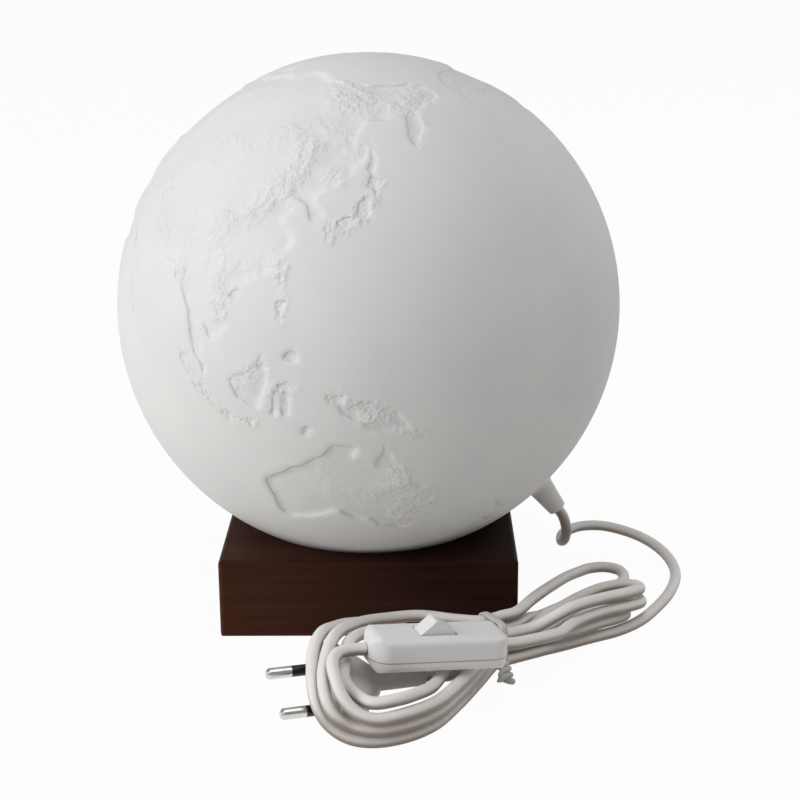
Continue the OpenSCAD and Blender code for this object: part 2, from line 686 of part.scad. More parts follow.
// a strand's place in the waist: column c, row r, and a along the bundle
function slot(c, r, a) = from_waist(a, c*cord_pitch, waist_z + r*cord_pitch);
function unit(v) = v/norm(v);
function mix(a, b, t) = a + (b - a)*t;
function reversed(v) = [for (i = [len(v) - 1:-1:0]) v[i]];

// directions and end points of the switch and the plug in the lamp's frame
function turned(v, r) = let (
    a = [v[0], v[1]*cos(r[0]) - v[2]*sin(r[0]), v[1]*sin(r[0]) + v[2]*cos(r[0])],
    b = [a[0]*cos(r[1]) + a[2]*sin(r[1]), a[1], a[2]*cos(r[1]) - a[0]*sin(r[1])])
    [b[0]*cos(r[2]) - b[1]*sin(r[2]), b[0]*sin(r[2]) + b[1]*cos(r[2]), b[2]];
switch_dir = turned([1, 0, 0], switch_turn);
plug_dir = turned([1, 0, 0], plug_turn);
switch_left = switch_at - switch_dir*switch_l/2;
switch_right = switch_at + switch_dir*switch_l/2;
plug_exit = plug_at + plug_dir*neck_end;

// One right loop: a near run, a round turn of radius r about (mid_a, near + r), and a far run.
// The height falls from top to low round the turn.
function right_loop(top, low, near, r, mid_a, lean, droop, back) = let (c = near + r) concat(
    [from_waist(24, near - lean, top), from_waist(38, near - 0.8, top)],
    [for (i = [0:4]) from_waist(mid_a + r*cos(40*i - 90), c + r*sin(40*i - 90),
        mix(top, low, droop[i]))],
    [from_waist(mid_a - 6, c + r - 0.6, low), from_waist(34, c + r - back[0], low),
        from_waist(23, back[1], low + back[2])]);
slope = [0.08, 0.2, 0.4, 0.62, 0.85];
top_loop = right_loop(18, 8, -3.3, 12, 52, 2, slope, [5, 10.3, 1.4]);
mid_loop = right_loop(12.7, 2.5, -4.2, 12.4, 52, 3.3, slope, [5, 10.4, 0.3]);
low_loop = right_loop(7.8, 2.5, -3.3, 8.6, 47, 2, [0.06, 0.14, 0.35, 0.6, 0.85], [6.2, 3.6, 0.2]);

// the front runs of three left loops stand on each other as a wall
function front_run(k) = [for (p = [[40.5, -103], [33, -119.3], [24, -135], [13, -143.8]])
    [p[0] + 0.5*k, p[1] - 1.3*k, floor_z + cord_pitch*k]];

// left turns over the plug, each from its front run to its place behind the switch
outer_turn = [[2.5, -146.6, 2.5], [-5, -146.4, 4], [-11, -144.7, 7.5], [-14.8, -142.5, 12.5],
    [-16.8, -137.5, 17.5], [-17.6, -130, 21.3], [-17.4, -121, 25], [-15.2, -113, 27.2],
    [-11, -103.5, 25.2], [-5, -92, 21.5], [6, -80, 15.5], [20, -75.5, 10], [33.5, -78.2, 6.4]];
second_turn = [[4.4, -147.9, 7.5], [-3.5, -147.4, 9], [-9.3, -147.2, 12.8], [-12.2, -144, 17.3],
    [-13.4, -137, 22], [-13, -128.5, 24.3], [-11.5, -120, 27], [-9, -112, 27.3],
    [-5.3, -104, 25.8], [-1, -96, 23.8], [7, -86.5, 20.8], [20, -79.6, 18.8], [34, -79.4, 17]];
switch_turn_in = [[4.5, -150, 12.6], [-2, -149.6, 15], [-6.5, -146.8, 19.2], [-9, -141.8, 23.6],
    [-10.2, -136, 26.7], [-8.4, -130.3, 27.7]];
inner_turn = [[39.3, -87.9, 11], [34.8, -100.5, 11.8], [29.8, -111.5, 13.2], [26.5, -122, 13.8],
    [23.5, -131, 14.9], [19.3, -139, 16.9], [12.9, -144.7, 17.5], [3.5, -146.8, 17.1],
    [-2.6, -141.3, 18], [-6.3, -134.5, 19.8], [-6.4, -126, 22.5], [-5.4, -117, 25.3],
    [-1.4, -108.6, 24.8], [4, -99.5, 21.5], [12.5, -91, 17], [26, -84, 12.8], [37, -81, 11.4]];

// the big loop that lies apart, past the block's corner
big_loop = [[63.3, -55.5, 14.7], [69, -41, 12], [75, -26, 8.9], [81, -11.5, 5.7], [87, 0, 3],
    [92.5, 5.6, 2.4], [99, 6.8, 2.4], [104.3, 3.5, 2.4], [105.8, -3.5, 2.4], [103, -11.5, 2.4],
    [97, -19, 2.4], [88, -26.5, 2.4], [76.5, -35.5, 2.6], [67.5, -48, 4.6], [61.8, -60.5, 9.1]];

supply_route = concat(
    [plug_exit, plug_exit + plug_dir*cord_d, [29.5, -107.5, 8], [33.5, -99, 5.6], [39.6, -88, 3.8],
        slot(0, 0, waist_left), slot(0, 0, 0), slot(0, 0, 6)],
    reversed(low_loop), [slot(-1, 1, 7), slot(-1, 1, 0), slot(-1, 1, waist_left)],
    front_run(1), second_turn, [slot(1, 2.5, waist_left), slot(1, 2.5, 0), slot(1, 2.5, 5)],
    big_loop, [slot(1, 1.5, 5), slot(1, 1.5, 0), slot(1, 1.5, waist_left)],
    reversed(inner_turn), [slot(0, 1.5, waist_left), slot(0, 1.5, 0), slot(0, 1.5, 9)],
    reversed(top_loop), [slot(-1, 2, 7), slot(-1, 2, 0), slot(-1, 2, waist_left)],
    front_run(2), switch_turn_in, [switch_left - switch_dir*cord_d, switch_left]);
lamp_route = concat(
    [switch_right, switch_right + switch_dir*cord_d, [61.5, -100.5, 18.8], [67.5, -92.5, 16.4],
        [72.5, -84, 14]],
    mid_loop, [slot(1, 0.45, 9), slot(1, 0.45, 0), slot(1, 0.45, waist_left)],
    reversed(outer_turn), reversed(front_run(0)),
    [slot(-1, 0, waist_left), slot(-1, 0, tie_a)]);

// the boot's mouth in the lamp's frame, and the way the cord leaves it
holder_out = turned([0, 0, 1], [0, 180 - holder_lean, holder_turn]);
boot_out = turned([0, 0, 1], [0, 180 - holder_lean + boot_droop, holder_turn]);
boot_mouth = [0, 0, globe_z] + boot_a*holder_out + boot_len*boot_out;

// the lead: from the hank over the floor, round the right, and up to the boot
lead_route = concat([slot(-1, 0, tie_a), slot(-1, 0, 0), slot(-1, 0, 8), slot(-1, 0, 12.5)], [
    [73.8, -71, 2.4], [85.6, -64, 2.4], [97, -57.5, 2.4], [106, -49.2, 2.4], [113, -39, 2.4],
    [123, -19, 2.4], [128, 1, 2.4], [126.5, 22, 2.4], [119.5, 40, 2.4], [110, 51, 2.4],
    [101.9, 55.6, 2.4], [92.7, 54.6, 2.4], [84.6, 46.4, 2.4], [82.8, 36, 2.9], [83.6, 28.9, 6.8],
    [83.8, 25.3, 13.2], boot_mouth + boot_out*(cord_d + 0.3), boot_mouth + boot_out*0.3]);

// Centripetal curve through the points, with a step of about the given length.
function curve(p, step) = let (
    q = concat([2*p[0] - p[1]], p, [2*p[len(p) - 1] - p[len(p) - 2]])) concat(
    [for (i = [1:len(q) - 3]) let (
        a = q[i], b = q[i + 1],
        d1 = sqrt(norm(a - q[i - 1])), d2 = sqrt(norm(b - a)), d3 = sqrt(norm(q[i + 2] - b)),
        m1 = ((a - q[i - 1])/d1 - (b - q[i - 1])/(d1 + d2) + (b - a)/d2)*d2,
        m2 = ((b - a)/d2 - (q[i + 2] - a)/(d2 + d3) + (q[i + 2] - b)/d3)*d2,
        n = max(1, round(norm(b - a)/step)))
        for (k = [0:n - 1]) let (t = k/n)
            (2*pow(t, 3) - 3*t*t + 1)*a + (pow(t, 3) - 2*t*t + t)*m1
            + (3*t*t - 2*pow(t, 3))*b + (pow(t, 3) - t*t)*m2],
    [p[len(p) - 1]]);
function run_length(p) = len(p) < 2 ? 0 : [for (i = 1, s = norm(p[1] - p[0]); i < len(p);
    i = i + 1, s = s + (i < len(p) ? norm(p[i] - p[i - 1]) : 0)) s][len(p) - 2];

// One closed tube of the given sides along the points, ends flat and square.
module tube(p, d, sides) {
    n = len(p);
    t = [for (i = [0:n - 1]) unit(p[min(i + 1, n - 1)] - p[max(i - 1, 0)])];
    first = unit(cross(t[0], abs(t[0][2]) < 0.8 ? [0, 0, 1] : [1, 0, 0]));
    side = [for (i = 0, s = first; i < n; i = i + 1,
        s = i < n ? unit(s - (s*t[i])*t[i]) : s) s];
    points = [for (i = [0:n - 1], k = [0:sides - 1]) p[i]
        + d/2*(cos(360*k/sides)*side[i] + sin(360*k/sides)*cross(t[i], side[i]))];
    walls = [for (i = [0:n - 2], k = [0:sides - 1]) let (
        a = i*sides + k, b = i*sides + (k + 1)%sides, c = a + sides, e = b + sides)
        each [[a, e, b], [a, c, e]]];
    ends = [for (k = [1:sides - 2]) each [[0, k, k + 1],
        [(n - 1)*sides, (n - 1)*sides + k + 1, (n - 1)*sides + k]]];
    polyhedron(points = points, faces = concat(walls, ends));
}

strand_step = 6;
supply_line = curve(supply_route, strand_step);
lamp_line = curve(lamp_route, strand_step);
lead_line = curve(lead_route, 2*cord_d);

// least gap of a line of points to itself, past a stretch of near neighbours
function least_gap(p, skip) = min([for (i = [0:len(p) - 1 - skip])
    for (j = [i + skip:len(p) - 1]) norm(p[i] - p[j])]) - cord_d;
function gap_between(p, q) = min([for (a = p) for (b = q) norm(a - b)]) - cord_d;

module cord_lead() {
    echo(lead_length = run_length(lead_line));
    color("gainsboro") tube(lead_line, cord_d, 10);
}
module hank_lamp() {
    echo(lamp_hank_length = run_length(lamp_line), lamp_hank_gap = least_gap(lamp_line, 5));
    color("gainsboro") tube(lamp_line, cord_d, 6);
}
module hank_supply() {
    echo(supply_hank_length = run_length(supply_line), supply_hank_gap = least_gap(supply_line, 5),
        gap_to_lamp_hank = gap_between(supply_line, lamp_line));
    color("gainsboro") tube(supply_line, cord_d, 6);
}

// flat band round the bundle's waist, with its twisted ends in front
module cord_tie() {
    half = 1.5*cord_pitch + 0.15;
    top = waist_z + 2.5*cord_pitch + cord_r + 0.2;
    color("silver") translate(from_waist(tie_a, 0, 0)) rotate([0, 0, waist_turn]) {
        rotate([90, 0, 90]) linear_extrude(tie_w, center = true) difference() {
            translate([0, (top + tie_t)/2]) rounded_square(2*(half + tie_t), top + tie_t, 3);
            translate([0, (top + tie_t)/2]) rounded_square(2*half, top - tie_t, 2.4);
        }
        // the two ends wind round each other and part, flatter than they are wide
        for (side = [0, 180]) translate([0, -half - tie_t + 0.5, 4.5])
            rotate([105, 0, -waist_turn]) tube([for (i = [0:22]) let (r = 0.9 + 0.06*i)
                [r*cos(side + 25*i), 0.45*r*sin(side + 25*i), i/2]], 1.5, 8);
    }
}

base_block();
globe_shell();
holder_skirt();
clip_springs();
holder_insert();
screw_shell();
centre_contact();
side_contact();
terminal_posts();
terminal_screws();
holder_wires();
cord_grip();
holder_cap();
cord_boot();
cord_tail();
bulb_cap();
bulb_insulator();
bulb_tip();
bulb_housing();
bulb_led_board();
bulb_envelope();
switch_lower();
switch_upper();
switch_rocker();
rocker_pin();
contact_bridge();
switch_terminals();
switch_wires();
switch_screws();
plug_body();
plug_pins();
pin_sleeves();
cord_lead();
hank_lamp();
hank_supply();
cord_tie();
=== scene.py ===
"""Globe table lamp: a printed relief earth in the dish of a wooden block, with its cord, switch
and plug.

Lengths are worked out in millimetres in the part's frame and put into the meshes in metres.
"""
import bpy
import numpy as np
from mathutils import Matrix


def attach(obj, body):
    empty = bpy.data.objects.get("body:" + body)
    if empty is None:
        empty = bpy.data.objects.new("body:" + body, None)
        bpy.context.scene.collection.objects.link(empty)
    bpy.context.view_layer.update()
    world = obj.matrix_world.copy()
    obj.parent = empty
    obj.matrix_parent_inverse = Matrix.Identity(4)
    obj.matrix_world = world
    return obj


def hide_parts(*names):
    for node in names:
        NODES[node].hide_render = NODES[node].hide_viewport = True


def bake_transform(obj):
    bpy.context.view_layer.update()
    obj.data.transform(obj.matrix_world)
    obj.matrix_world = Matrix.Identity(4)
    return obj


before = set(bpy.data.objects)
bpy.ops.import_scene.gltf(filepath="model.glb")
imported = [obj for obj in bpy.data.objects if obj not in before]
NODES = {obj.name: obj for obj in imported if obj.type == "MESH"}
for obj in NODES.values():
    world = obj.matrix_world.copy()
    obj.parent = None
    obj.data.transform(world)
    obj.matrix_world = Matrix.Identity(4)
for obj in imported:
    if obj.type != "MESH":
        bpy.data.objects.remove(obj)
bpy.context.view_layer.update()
MM = 0.001

# Sizes of the part in millimetres and degrees, as in its source
GLOBE_R = 100.0                     # to the sea's surface
GLOBE_WALL = 2.0
GLOBE_MID = np.array([0.0, 0.0, 119.0])
PORT_R = 13.5
LAND_DEPTH = 1.0                    # how far the open land lies below the sea's surface
HOLDER_POLAR = 41.4                 # the holder's axis, from straight down
HOLDER_TURN = 16.4                  # the same about Z, from +X
BOOT_DROOP = 5.0                    # how much steeper the boot points down
BOOT_AT, BOOT_LEN = 111.985, 14.4   # along the holder's axis from the globe's middle
EARTH_TURN = (-3.68, -2.31, 132.08)
CORD_D = 4.5
FLOOR_Z = 2.4                       # middle of a cord that lies on the floor
PITCH = 5.1                         # between strands that lie side by side
SWITCH_AT, SWITCH_TURN, SWITCH_L = (25.3, -116.95, 23.9), (0.0, 6.8, 19.5), 52.0
SEAM_LOW = -2.0                     # the switch's seam, from its middle
PLUG_AT, PLUG_TURN, NECK_END = (-13.4, -126.2, 12.5), (22.9, 3.4, 21.8), 37.0


# Numbers and meshes
def turn(degrees):
    """Turns about X, then Y, then Z, as one matrix."""
    (cx, cy, cz), (sx, sy, sz) = np.cos(np.radians(degrees)), np.sin(np.radians(degrees))
    about_x = np.array([[1, 0, 0], [0, cx, -sx], [0, sx, cx]])
    about_y = np.array([[cy, 0, sy], [0, 1, 0], [-sy, 0, cy]])
    about_z = np.array([[cz, -sz, 0], [sz, cz, 0], [0, 0, 1]])
    return about_z @ about_y @ about_x


def unit(v):
    """v divided by its length, along the last axis."""
    return v / np.linalg.norm(v, axis=-1, keepdims=True)


def smooth(t):
    """0 below 0, 1 above 1, and 3t^2 - 2t^3 between."""
    t = np.clip(t, 0, 1)
    return t * t * (3 - 2 * t)


def curve(points, step):
    """Centripetal curve through the points: each span is a cubic whose end slopes come from
    its neighbours, weighted by the square roots of the distances between them."""
    p = np.array(points, float)
    q = np.vstack([2 * p[0] - p[1], p, 2 * p[-1] - p[-2]])
    d = np.sqrt(np.linalg.norm(np.diff(q, axis=0), axis=1))[:, None]
    a, b = q[1:-2], q[2:-1]
    d1, d2, d3 = d[:-2], d[1:-1], d[2:]
    m1 = ((a - q[:-3]) / d1 - (b - q[:-3]) / (d1 + d2) + (b - a) / d2) * d2
    m2 = ((b - a) / d2 - (q[3:] - a) / (d2 + d3) + (q[3:] - b) / d3) * d2
    t = np.linspace(0, 1, 24, endpoint=False)[None, :, None]
    a, b, m1, m2 = a[:, None], b[:, None], m1[:, None], m2[:, None]
    line = ((2*t**3 - 3*t**2 + 1)*a + (t**3 - 2*t**2 + t)*m1
            + (3*t**2 - 2*t**3)*b + (t**3 - t**2)*m2).reshape(-1, 3)
    return even(np.vstack([line, p[-1:]]), step)


def even(line, step):
    """The same line with points an equal distance apart, about one step."""
    s = np.r_[0, np.cumsum(np.linalg.norm(np.diff(line, axis=0), axis=1))]
    u = np.linspace(0, s[-1], int(round(s[-1] / step)) + 1)
    return np.stack([np.interp(u, s, line[:, k]) for k in range(3)], axis=1)


def frames(line):
    """Along, side and up vectors of a line. The side vector is carried from point to point and
    made square to the line, so that the section doesn't spin."""
    along = unit(np.gradient(line, axis=0))
    side = np.empty_like(along)
    s = np.cross(along[0], (0, 0, 1) if abs(along[0, 2]) < 0.8 else (1, 0, 0))
    for i, t in enumerate(along):
        s = s - (s @ t) * t
        s = s / np.linalg.norm(s)
        side[i] = s
    return along, side, np.cross(along, side)


def tube(line, radius, sides=18):
    """A circle of the given radius, one number or one for each point, carried along the line."""
    _, side, up = frames(line)
    angle = np.linspace(0, 2*np.pi, sides, endpoint=False)[None, :, None]
    r = np.broadcast_to(radius, len(line))[:, None, None]
    return line[:, None] + r*(np.cos(angle)*side[:, None] + np.sin(angle)*up[:, None])


def grid_faces(rows, cols, start=0):
    """Quads of a grid whose columns close on themselves, and a fan over each end row."""
    i = np.arange(rows*cols).reshape(rows, cols) + start
    j = np.roll(i, -1, axis=1)
    quads = np.stack([i[:-1], j[:-1], j[1:], i[1:]], axis=-1).reshape(-1, 4).tolist()
    first, last = start + rows*cols, start + rows*cols + 1
    fans = np.stack([j[0], i[0], np.full(cols, first)], axis=-1).tolist()
    fans += np.stack([i[-1], j[-1], np.full(cols, last)], axis=-1).tolist()
    return quads + fans


def piece(name, grids, material, body):
    """One object from grids of points in millimetres, each closed round and over its ends."""
    verts, faces = [], []
    start = 0
    for g in grids:
        rows, cols = g.shape[:2]
        faces += grid_faces(rows, cols, start)
        ends = [g[0].mean(axis=0)[None], g[-1].mean(axis=0)[None]]
        verts.append(np.vstack([g.reshape(-1, 3), *ends]))
        start += rows*cols + 2
    mesh = bpy.data.meshes.new(name)
    mesh.from_pydata((np.vstack(verts) * MM).tolist(), [], faces)
    mesh.polygons.foreach_set("use_smooth", np.ones(len(faces), bool))
    mesh.materials.append(material)
    mesh.update()
    obj = bpy.data.objects.new(name, mesh)
    bpy.context.scene.collection.objects.link(obj)
    if body:
        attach(obj, body)
    return obj


# Finishes
def finish_of(name, colour, roughness, **sockets):
    """A principled finish. Its steady values are set on the shader's own sockets."""
    material = bpy.data.materials.new(name)
    material.use_nodes = True
    shader = material.node_tree.nodes["Principled BSDF"]
    shader.inputs["Base Color"].default_value = (*colour, 1)
    shader.inputs["Roughness"].default_value = roughness
    for socket, value in sockets.items():
        shader.inputs[socket.replace("_", " ")].default_value = value
    return material


def node(material, kind, **values):
    """A shader node in a material or world; values whose names have a capital are for sockets,
    the others for its own properties."""
    made = material.node_tree.nodes.new(kind)
    for key, value in values.items():
        if key[0].isupper():
            made.inputs[key.replace("_", " ")].default_value = value
        else:
            setattr(made, key, value)
    return made


def link(material, *ends):
    """Links pairs of sockets: (node, output, node, input), each by its name or number."""
    for a, out, b, into in ends:
        material.node_tree.links.new(a.outputs[out], b.inputs[into])


def pattern(material, kind, stretch=(1, 1, 1), **values):
    """A procedural pattern on the object's own coordinates, stretched along its axes."""
    place = node(material, "ShaderNodeTexCoord")
    mapping = node(material, "ShaderNodeMapping", Scale=stretch)
    made = node(material, kind, **values)
    link(material, (place, "Object", mapping, "Vector"), (mapping, "Vector", made, "Vector"))
    return made


def tint(material, made, output, dark, light, low=0.3, high=0.7):
    """Base colour that runs from dark to light with a pattern."""
    ramp = node(material, "ShaderNodeValToRGB")
    for stop, place, colour in zip(ramp.color_ramp.elements, (low, high), (dark, light)):
        stop.position, stop.color = place, (*colour, 1)
    shader = material.node_tree.nodes["Principled BSDF"]
    link(material, (made, output, ramp, "Fac"), (ramp, "Color", shader, "Base Color"))
    return ramp


def bump(material, made, output, strength, distance, over=None):
    """Surface relief from a pattern, in metres, on top of another bump."""
    relief = node(material, "ShaderNodeBump", Strength=strength, Distance=distance)
    link(material, (made, output, relief, "Height"))
    if over:
        link(material, (over, "Normal", relief, "Normal"))
    shader = material.node_tree.nodes["Principled BSDF"]
    link(material, (relief, "Normal", shader, "Normal"))
    return relief


MIX_FACTOR, MIX_A, MIX_B, MIX_OUT = 0, 6, 7, 2   # sockets of a node that mixes two colours
COVE_DEGREES = 1.2                               # how far the coves' noise moves a shore
SHORE_STEP, KNOLL_HEIGHT = 0.00035, 0.00062      # in metres, as bump


def multiplied(material, colour):
    """The base colour, which came from the given socket, times a second colour or shade. It is
    set or linked at the node's B socket, and its share at the factor."""
    mix = node(material, "ShaderNodeMix", data_type="RGBA", blend_type="MULTIPLY")
    mix.inputs[MIX_FACTOR].default_value = 1.0
    material.node_tree.links.new(colour, mix.inputs[MIX_A])
    link(material, (mix, MIX_OUT, material.node_tree.nodes["Principled BSDF"], "Base Color"))
    return mix


def printed_white():
    """Matt white print: a faint mottle, fine printed layers, a soft step at each shore, and
    knolls where the country is rough."""
    m = finish_of("printed_white", (0.8, 0.8, 0.79), 0.62, Specular_IOR_Level=0.35)
    mottle = pattern(m, "ShaderNodeTexNoise", Scale=35, Detail=4)
    tint(m, mottle, "Fac", (0.78, 0.78, 0.775), (0.82, 0.82, 0.81))
    layers = pattern(m, "ShaderNodeTexWave", wave_type="BANDS", bands_direction="Z", Scale=320,
                     Distortion=1.5, Detail=2, Detail_Scale=4)
    fine = bump(m, layers, "Fac", 0.12, 0.00006)
    # a shore is a soft step down where the degrees inland, plus the coves' noise, rise past it
    inland_at = node(m, "ShaderNodeAttribute", attribute_name="inland")
    coves = pattern(m, "ShaderNodeTexNoise", Scale=190, Detail=2, Roughness=0.5)
    bent = node(m, "ShaderNodeMath", operation="MULTIPLY_ADD")
    bent.inputs[1].default_value = COVE_DEGREES
    shore = node(m, "ShaderNodeMapRange", interpolation_type="SMOOTHSTEP", From_Min=0.4,
                 From_Max=1.1)
    link(m, (coves, "Fac", bent, 0), (inland_at, "Fac", bent, 2), (bent, 0, shore, "Value"))
    coast = bump(m, shore, "Result", 1.0, -SHORE_STEP, over=fine)
    # soft knolls of noise, as high as the country is rugged
    rugged = node(m, "ShaderNodeAttribute", attribute_name="rugged")
    rock = pattern(m, "ShaderNodeTexNoise", Scale=360, Detail=2, Roughness=0.5)
    knolls = node(m, "ShaderNodeMapRange", interpolation_type="LINEAR", From_Min=0.3, From_Max=0.7)
    height = node(m, "ShaderNodeMath", operation="MULTIPLY")
    link(m, (rock, "Fac", knolls, "Value"), (rugged, "Fac", height, 0),
         (knolls, "Result", height, 1))
    bump(m, height, 0, 1.0, KNOLL_HEIGHT, over=coast)
    return m


def dark_walnut():
    """Dark stained wood: long grain along X, darker pores, and painted light and shade that makes it
    lighter at the left-hand end and darker towards the right-hand end."""
    m = finish_of("dark_walnut", (0.05, 0.016, 0.008), 0.48, Specular_IOR_Level=0.08)
    grain = pattern(m, "ShaderNodeTexNoise", stretch=(1, 14, 26), Scale=9, Detail=8, Roughness=0.6,
                    Distortion=0.6)
    ramp = tint(m, grain, "Fac", (0.034, 0.0098, 0.005), (0.059, 0.0192, 0.0098), 0.3, 0.7)
    # painted light and shade: along X the colour is raised at the left-hand end and darkened towards the
    # right-hand end
    place = node(m, "ShaderNodeTexCoord")
    along = node(m, "ShaderNodeSeparateXYZ")
    fade = node(m, "ShaderNodeMapRange", interpolation_type="SMOOTHSTEP", From_Min=-0.05,
                From_Max=0.035, To_Min=1.15, To_Max=0.5)
    painted_light_falloff = multiplied(m, ramp.outputs["Color"])
    link(m, (place, "Object", along, "Vector"), (along, "X", fade, "Value"),
         (fade, "Result", painted_light_falloff, MIX_B))
    pores = pattern(m, "ShaderNodeTexNoise", stretch=(1, 30, 50), Scale=40, Detail=3, Roughness=0.7)
    bump(m, pores, "Fac", 0.25, 0.0002)
    return m


def moulded(name, colour, roughness=0.42, mottle=0.015, level=0.4):
    """Moulded plastic: its colour varies by a hair, with the fine texture of the mould."""
    m = finish_of(name, colour, roughness, Specular_IOR_Level=level)
    cloud = pattern(m, "ShaderNodeTexNoise", Scale=60, Detail=3)
    c = np.array(colour)
    tint(m, cloud, "Fac", tuple(c*(1 - mottle)), tuple(np.minimum(1, c*(1 + mottle))))
    skin = pattern(m, "ShaderNodeTexNoise", Scale=1600, Detail=2)
    bump(m, skin, "Fac", 0.08, 0.00005)
    return m


def seam(material, way, place):
    """A fine dark line where two shells meet: the colour falls off within a fraction of a
    millimetre of the plane across way at the given place, both in metres."""
    spot = node(material, "ShaderNodeTexCoord")
    along = node(material, "ShaderNodeVectorMath", operation="DOT_PRODUCT")
    along.inputs[1].default_value = tuple(way)
    off = node(material, "ShaderNodeMath", operation="SUBTRACT")
    off.inputs[1].default_value = float(np.dot(way, place))
    size = node(material, "ShaderNodeMath", operation="ABSOLUTE")
    fade = node(material, "ShaderNodeMapRange", interpolation_type="SMOOTHSTEP",
                From_Min=0.0001, From_Max=0.00032, To_Min=0.45, To_Max=1.0)
    shader = material.node_tree.nodes["Principled BSDF"]
    dark = multiplied(material, shader.inputs["Base Color"].links[0].from_socket)
    link(material, (spot, "Object", along, 0), (along, "Value", off, 0), (off, 0, size, 0),
         (size, 0, fade, "Value"), (fade, "Result", dark, MIX_B))


def metal(name, colour, roughness):
    """Plated metal with the faint streaks of polishing."""
    m = finish_of(name, colour, roughness, Metallic=1.0)
    streaks = pattern(m, "ShaderNodeTexNoise", stretch=(1, 8, 1), Scale=300, Detail=3)
    c = np.array(colour)
    tint(m, streaks, "Fac", tuple(c*0.93), tuple(np.minimum(1, c*1.04)))
    bump(m, streaks, "Fac", 0.06, 0.00004)
    return m


# The camera that was fitted to the photograph
CAMERA_AT = (18.3, -661.9, 280.5)
CAMERA_TURN = (-0.53, 16.92, -0.36)  # yaw, pitch down and roll
FOCAL_PX, PICTURE_PX, SENSOR = 1690.4, 800, 36.0


def photo_camera():
    """A camera at the fitted place, turned by yaw, pitch and roll, with the focal length that
    the picture's width gives on the sensor."""
    yaw, pitch, roll = np.radians(CAMERA_TURN)
    forward = np.array([np.sin(yaw)*np.cos(pitch), np.cos(yaw)*np.cos(pitch), -np.sin(pitch)])
    level = np.array([np.cos(yaw), -np.sin(yaw), 0])
    above = np.cross(level, forward)
    right = np.cos(roll)*level + np.sin(roll)*above
    up = -np.sin(roll)*level + np.cos(roll)*above
    data = bpy.data.cameras.new("photo_camera")
    data.sensor_width, data.sensor_fit = SENSOR, "HORIZONTAL"
    data.lens = FOCAL_PX/PICTURE_PX*SENSOR
    data.clip_start, data.clip_end = 0.01, 50
    camera = bpy.data.objects.new("photo_camera", data)
    place = np.eye(4)
    place[:3, :3] = np.stack([right, up, -forward], axis=1)
    place[:3, 3] = np.array(CAMERA_AT)*MM
    camera.matrix_world = Matrix(place.tolist())
    bpy.context.scene.collection.objects.link(camera)
    bpy.context.scene.camera = camera


photo_camera()

# The cord's route, as in the part's source
WAIST = np.array([54.0, -78.0])      # middle of the tied bundle
WAIST_Z = CORD_D/2 + 0.9 + 0.15      # its lowest strand, over the tie
WAIST_TURN = np.radians(30)
TIE_A = -8.0                         # the tie's place along the bundle
WAIST_LEFT = -9.5                    # the strands lie side by side up to here on its left


def from_waist(a, c, z):
    """A place a along and c across the tied bundle, from the waist's middle."""
    along = np.array([np.cos(WAIST_TURN), np.sin(WAIST_TURN)])
    across = np.array([-np.sin(WAIST_TURN), np.cos(WAIST_TURN)])
    x, y = WAIST + a*along + c*across
    return [x, y, z]


def slot_at(column, row, *along):
    """Places of one strand in the waist, a column across and a row up in steps of the pitch."""
    return [from_waist(a, column*PITCH, WAIST_Z + row*PITCH) for a in along]


def right_loop(top, low, near, r, mid_a, lean, droop, back):
    """A near run, a round turn of radius r, and a far run that is lower by the droop."""
    c = near + r
    angle = np.radians(40*np.arange(5) - 90)
    ring = [from_waist(mid_a + r*np.cos(t), c + r*np.sin(t), top + (low - top)*d)
            for t, d in zip(angle, droop)]
    return [from_waist(24, near - lean, top), from_waist(38, near - 0.8, top), *ring,
            from_waist(mid_a - 6, c + r - 0.6, low), from_waist(34, c + r - back[0], low),
            from_waist(23, back[1], low + back[2])]


def front_run(k):
    """Front run of the k-th left loop; the three stand on each other as a wall."""
    return [[x + 0.5*k, y - 1.3*k, FLOOR_Z + PITCH*k]
            for x, y in ((40.5, -103), (33, -119.3), (24, -135), (13, -143.8))]


SLOPE = (0.08, 0.2, 0.4, 0.62, 0.85)
TOP_LOOP = right_loop(18, 8, -3.3, 12, 52, 2, SLOPE, (5, 10.3, 1.4))
MID_LOOP = right_loop(12.7, 2.5, -4.2, 12.4, 52, 3.3, SLOPE, (5, 10.4, 0.3))
LOW_LOOP = right_loop(7.8, 2.5, -3.3, 8.6, 47, 2, (0.06, 0.14, 0.35, 0.6, 0.85), (6.2, 3.6, 0.2))
OUTER_TURN = [[2.5, -146.6, 2.5], [-5, -146.4, 4], [-11, -144.7, 7.5], [-14.8, -142.5, 12.5],
              [-16.8, -137.5, 17.5], [-17.6, -130, 21.3], [-17.4, -121, 25], [-15.2, -113, 27.2],
              [-11, -103.5, 25.2], [-5, -92, 21.5], [6, -80, 15.5], [20, -75.5, 10],
              [33.5, -78.2, 6.4]]
SECOND_TURN = [[4.4, -147.9, 7.5], [-3.5, -147.4, 9], [-9.3, -147.2, 12.8], [-12.2, -144, 17.3],
               [-13.4, -137, 22], [-13, -128.5, 24.3], [-11.5, -120, 27], [-9, -112, 27.3],
               [-5.3, -104, 25.8], [-1, -96, 23.8], [7, -86.5, 20.8], [20, -79.6, 18.8],
               [34, -79.4, 17]]
SWITCH_TURN_IN = [[4.5, -150, 12.6], [-2, -149.6, 15], [-6.5, -146.8, 19.2], [-9, -141.8, 23.6],
                  [-10.2, -136, 26.7], [-8.4, -130.3, 27.7]]
INNER_TURN = [[39.3, -87.9, 11], [34.8, -100.5, 11.8], [29.8, -111.5, 13.2], [26.5, -122, 13.8],
              [23.5, -131, 14.9], [19.3, -139, 16.9], [12.9, -144.7, 17.5], [3.5, -146.8, 17.1],
              [-2.6, -141.3, 18], [-6.3, -134.5, 19.8], [-6.4, -126, 22.5], [-5.4, -117, 25.3],
              [-1.4, -108.6, 24.8], [4, -99.5, 21.5], [12.5, -91, 17], [26, -84, 12.8],
              [37, -81, 11.4]]
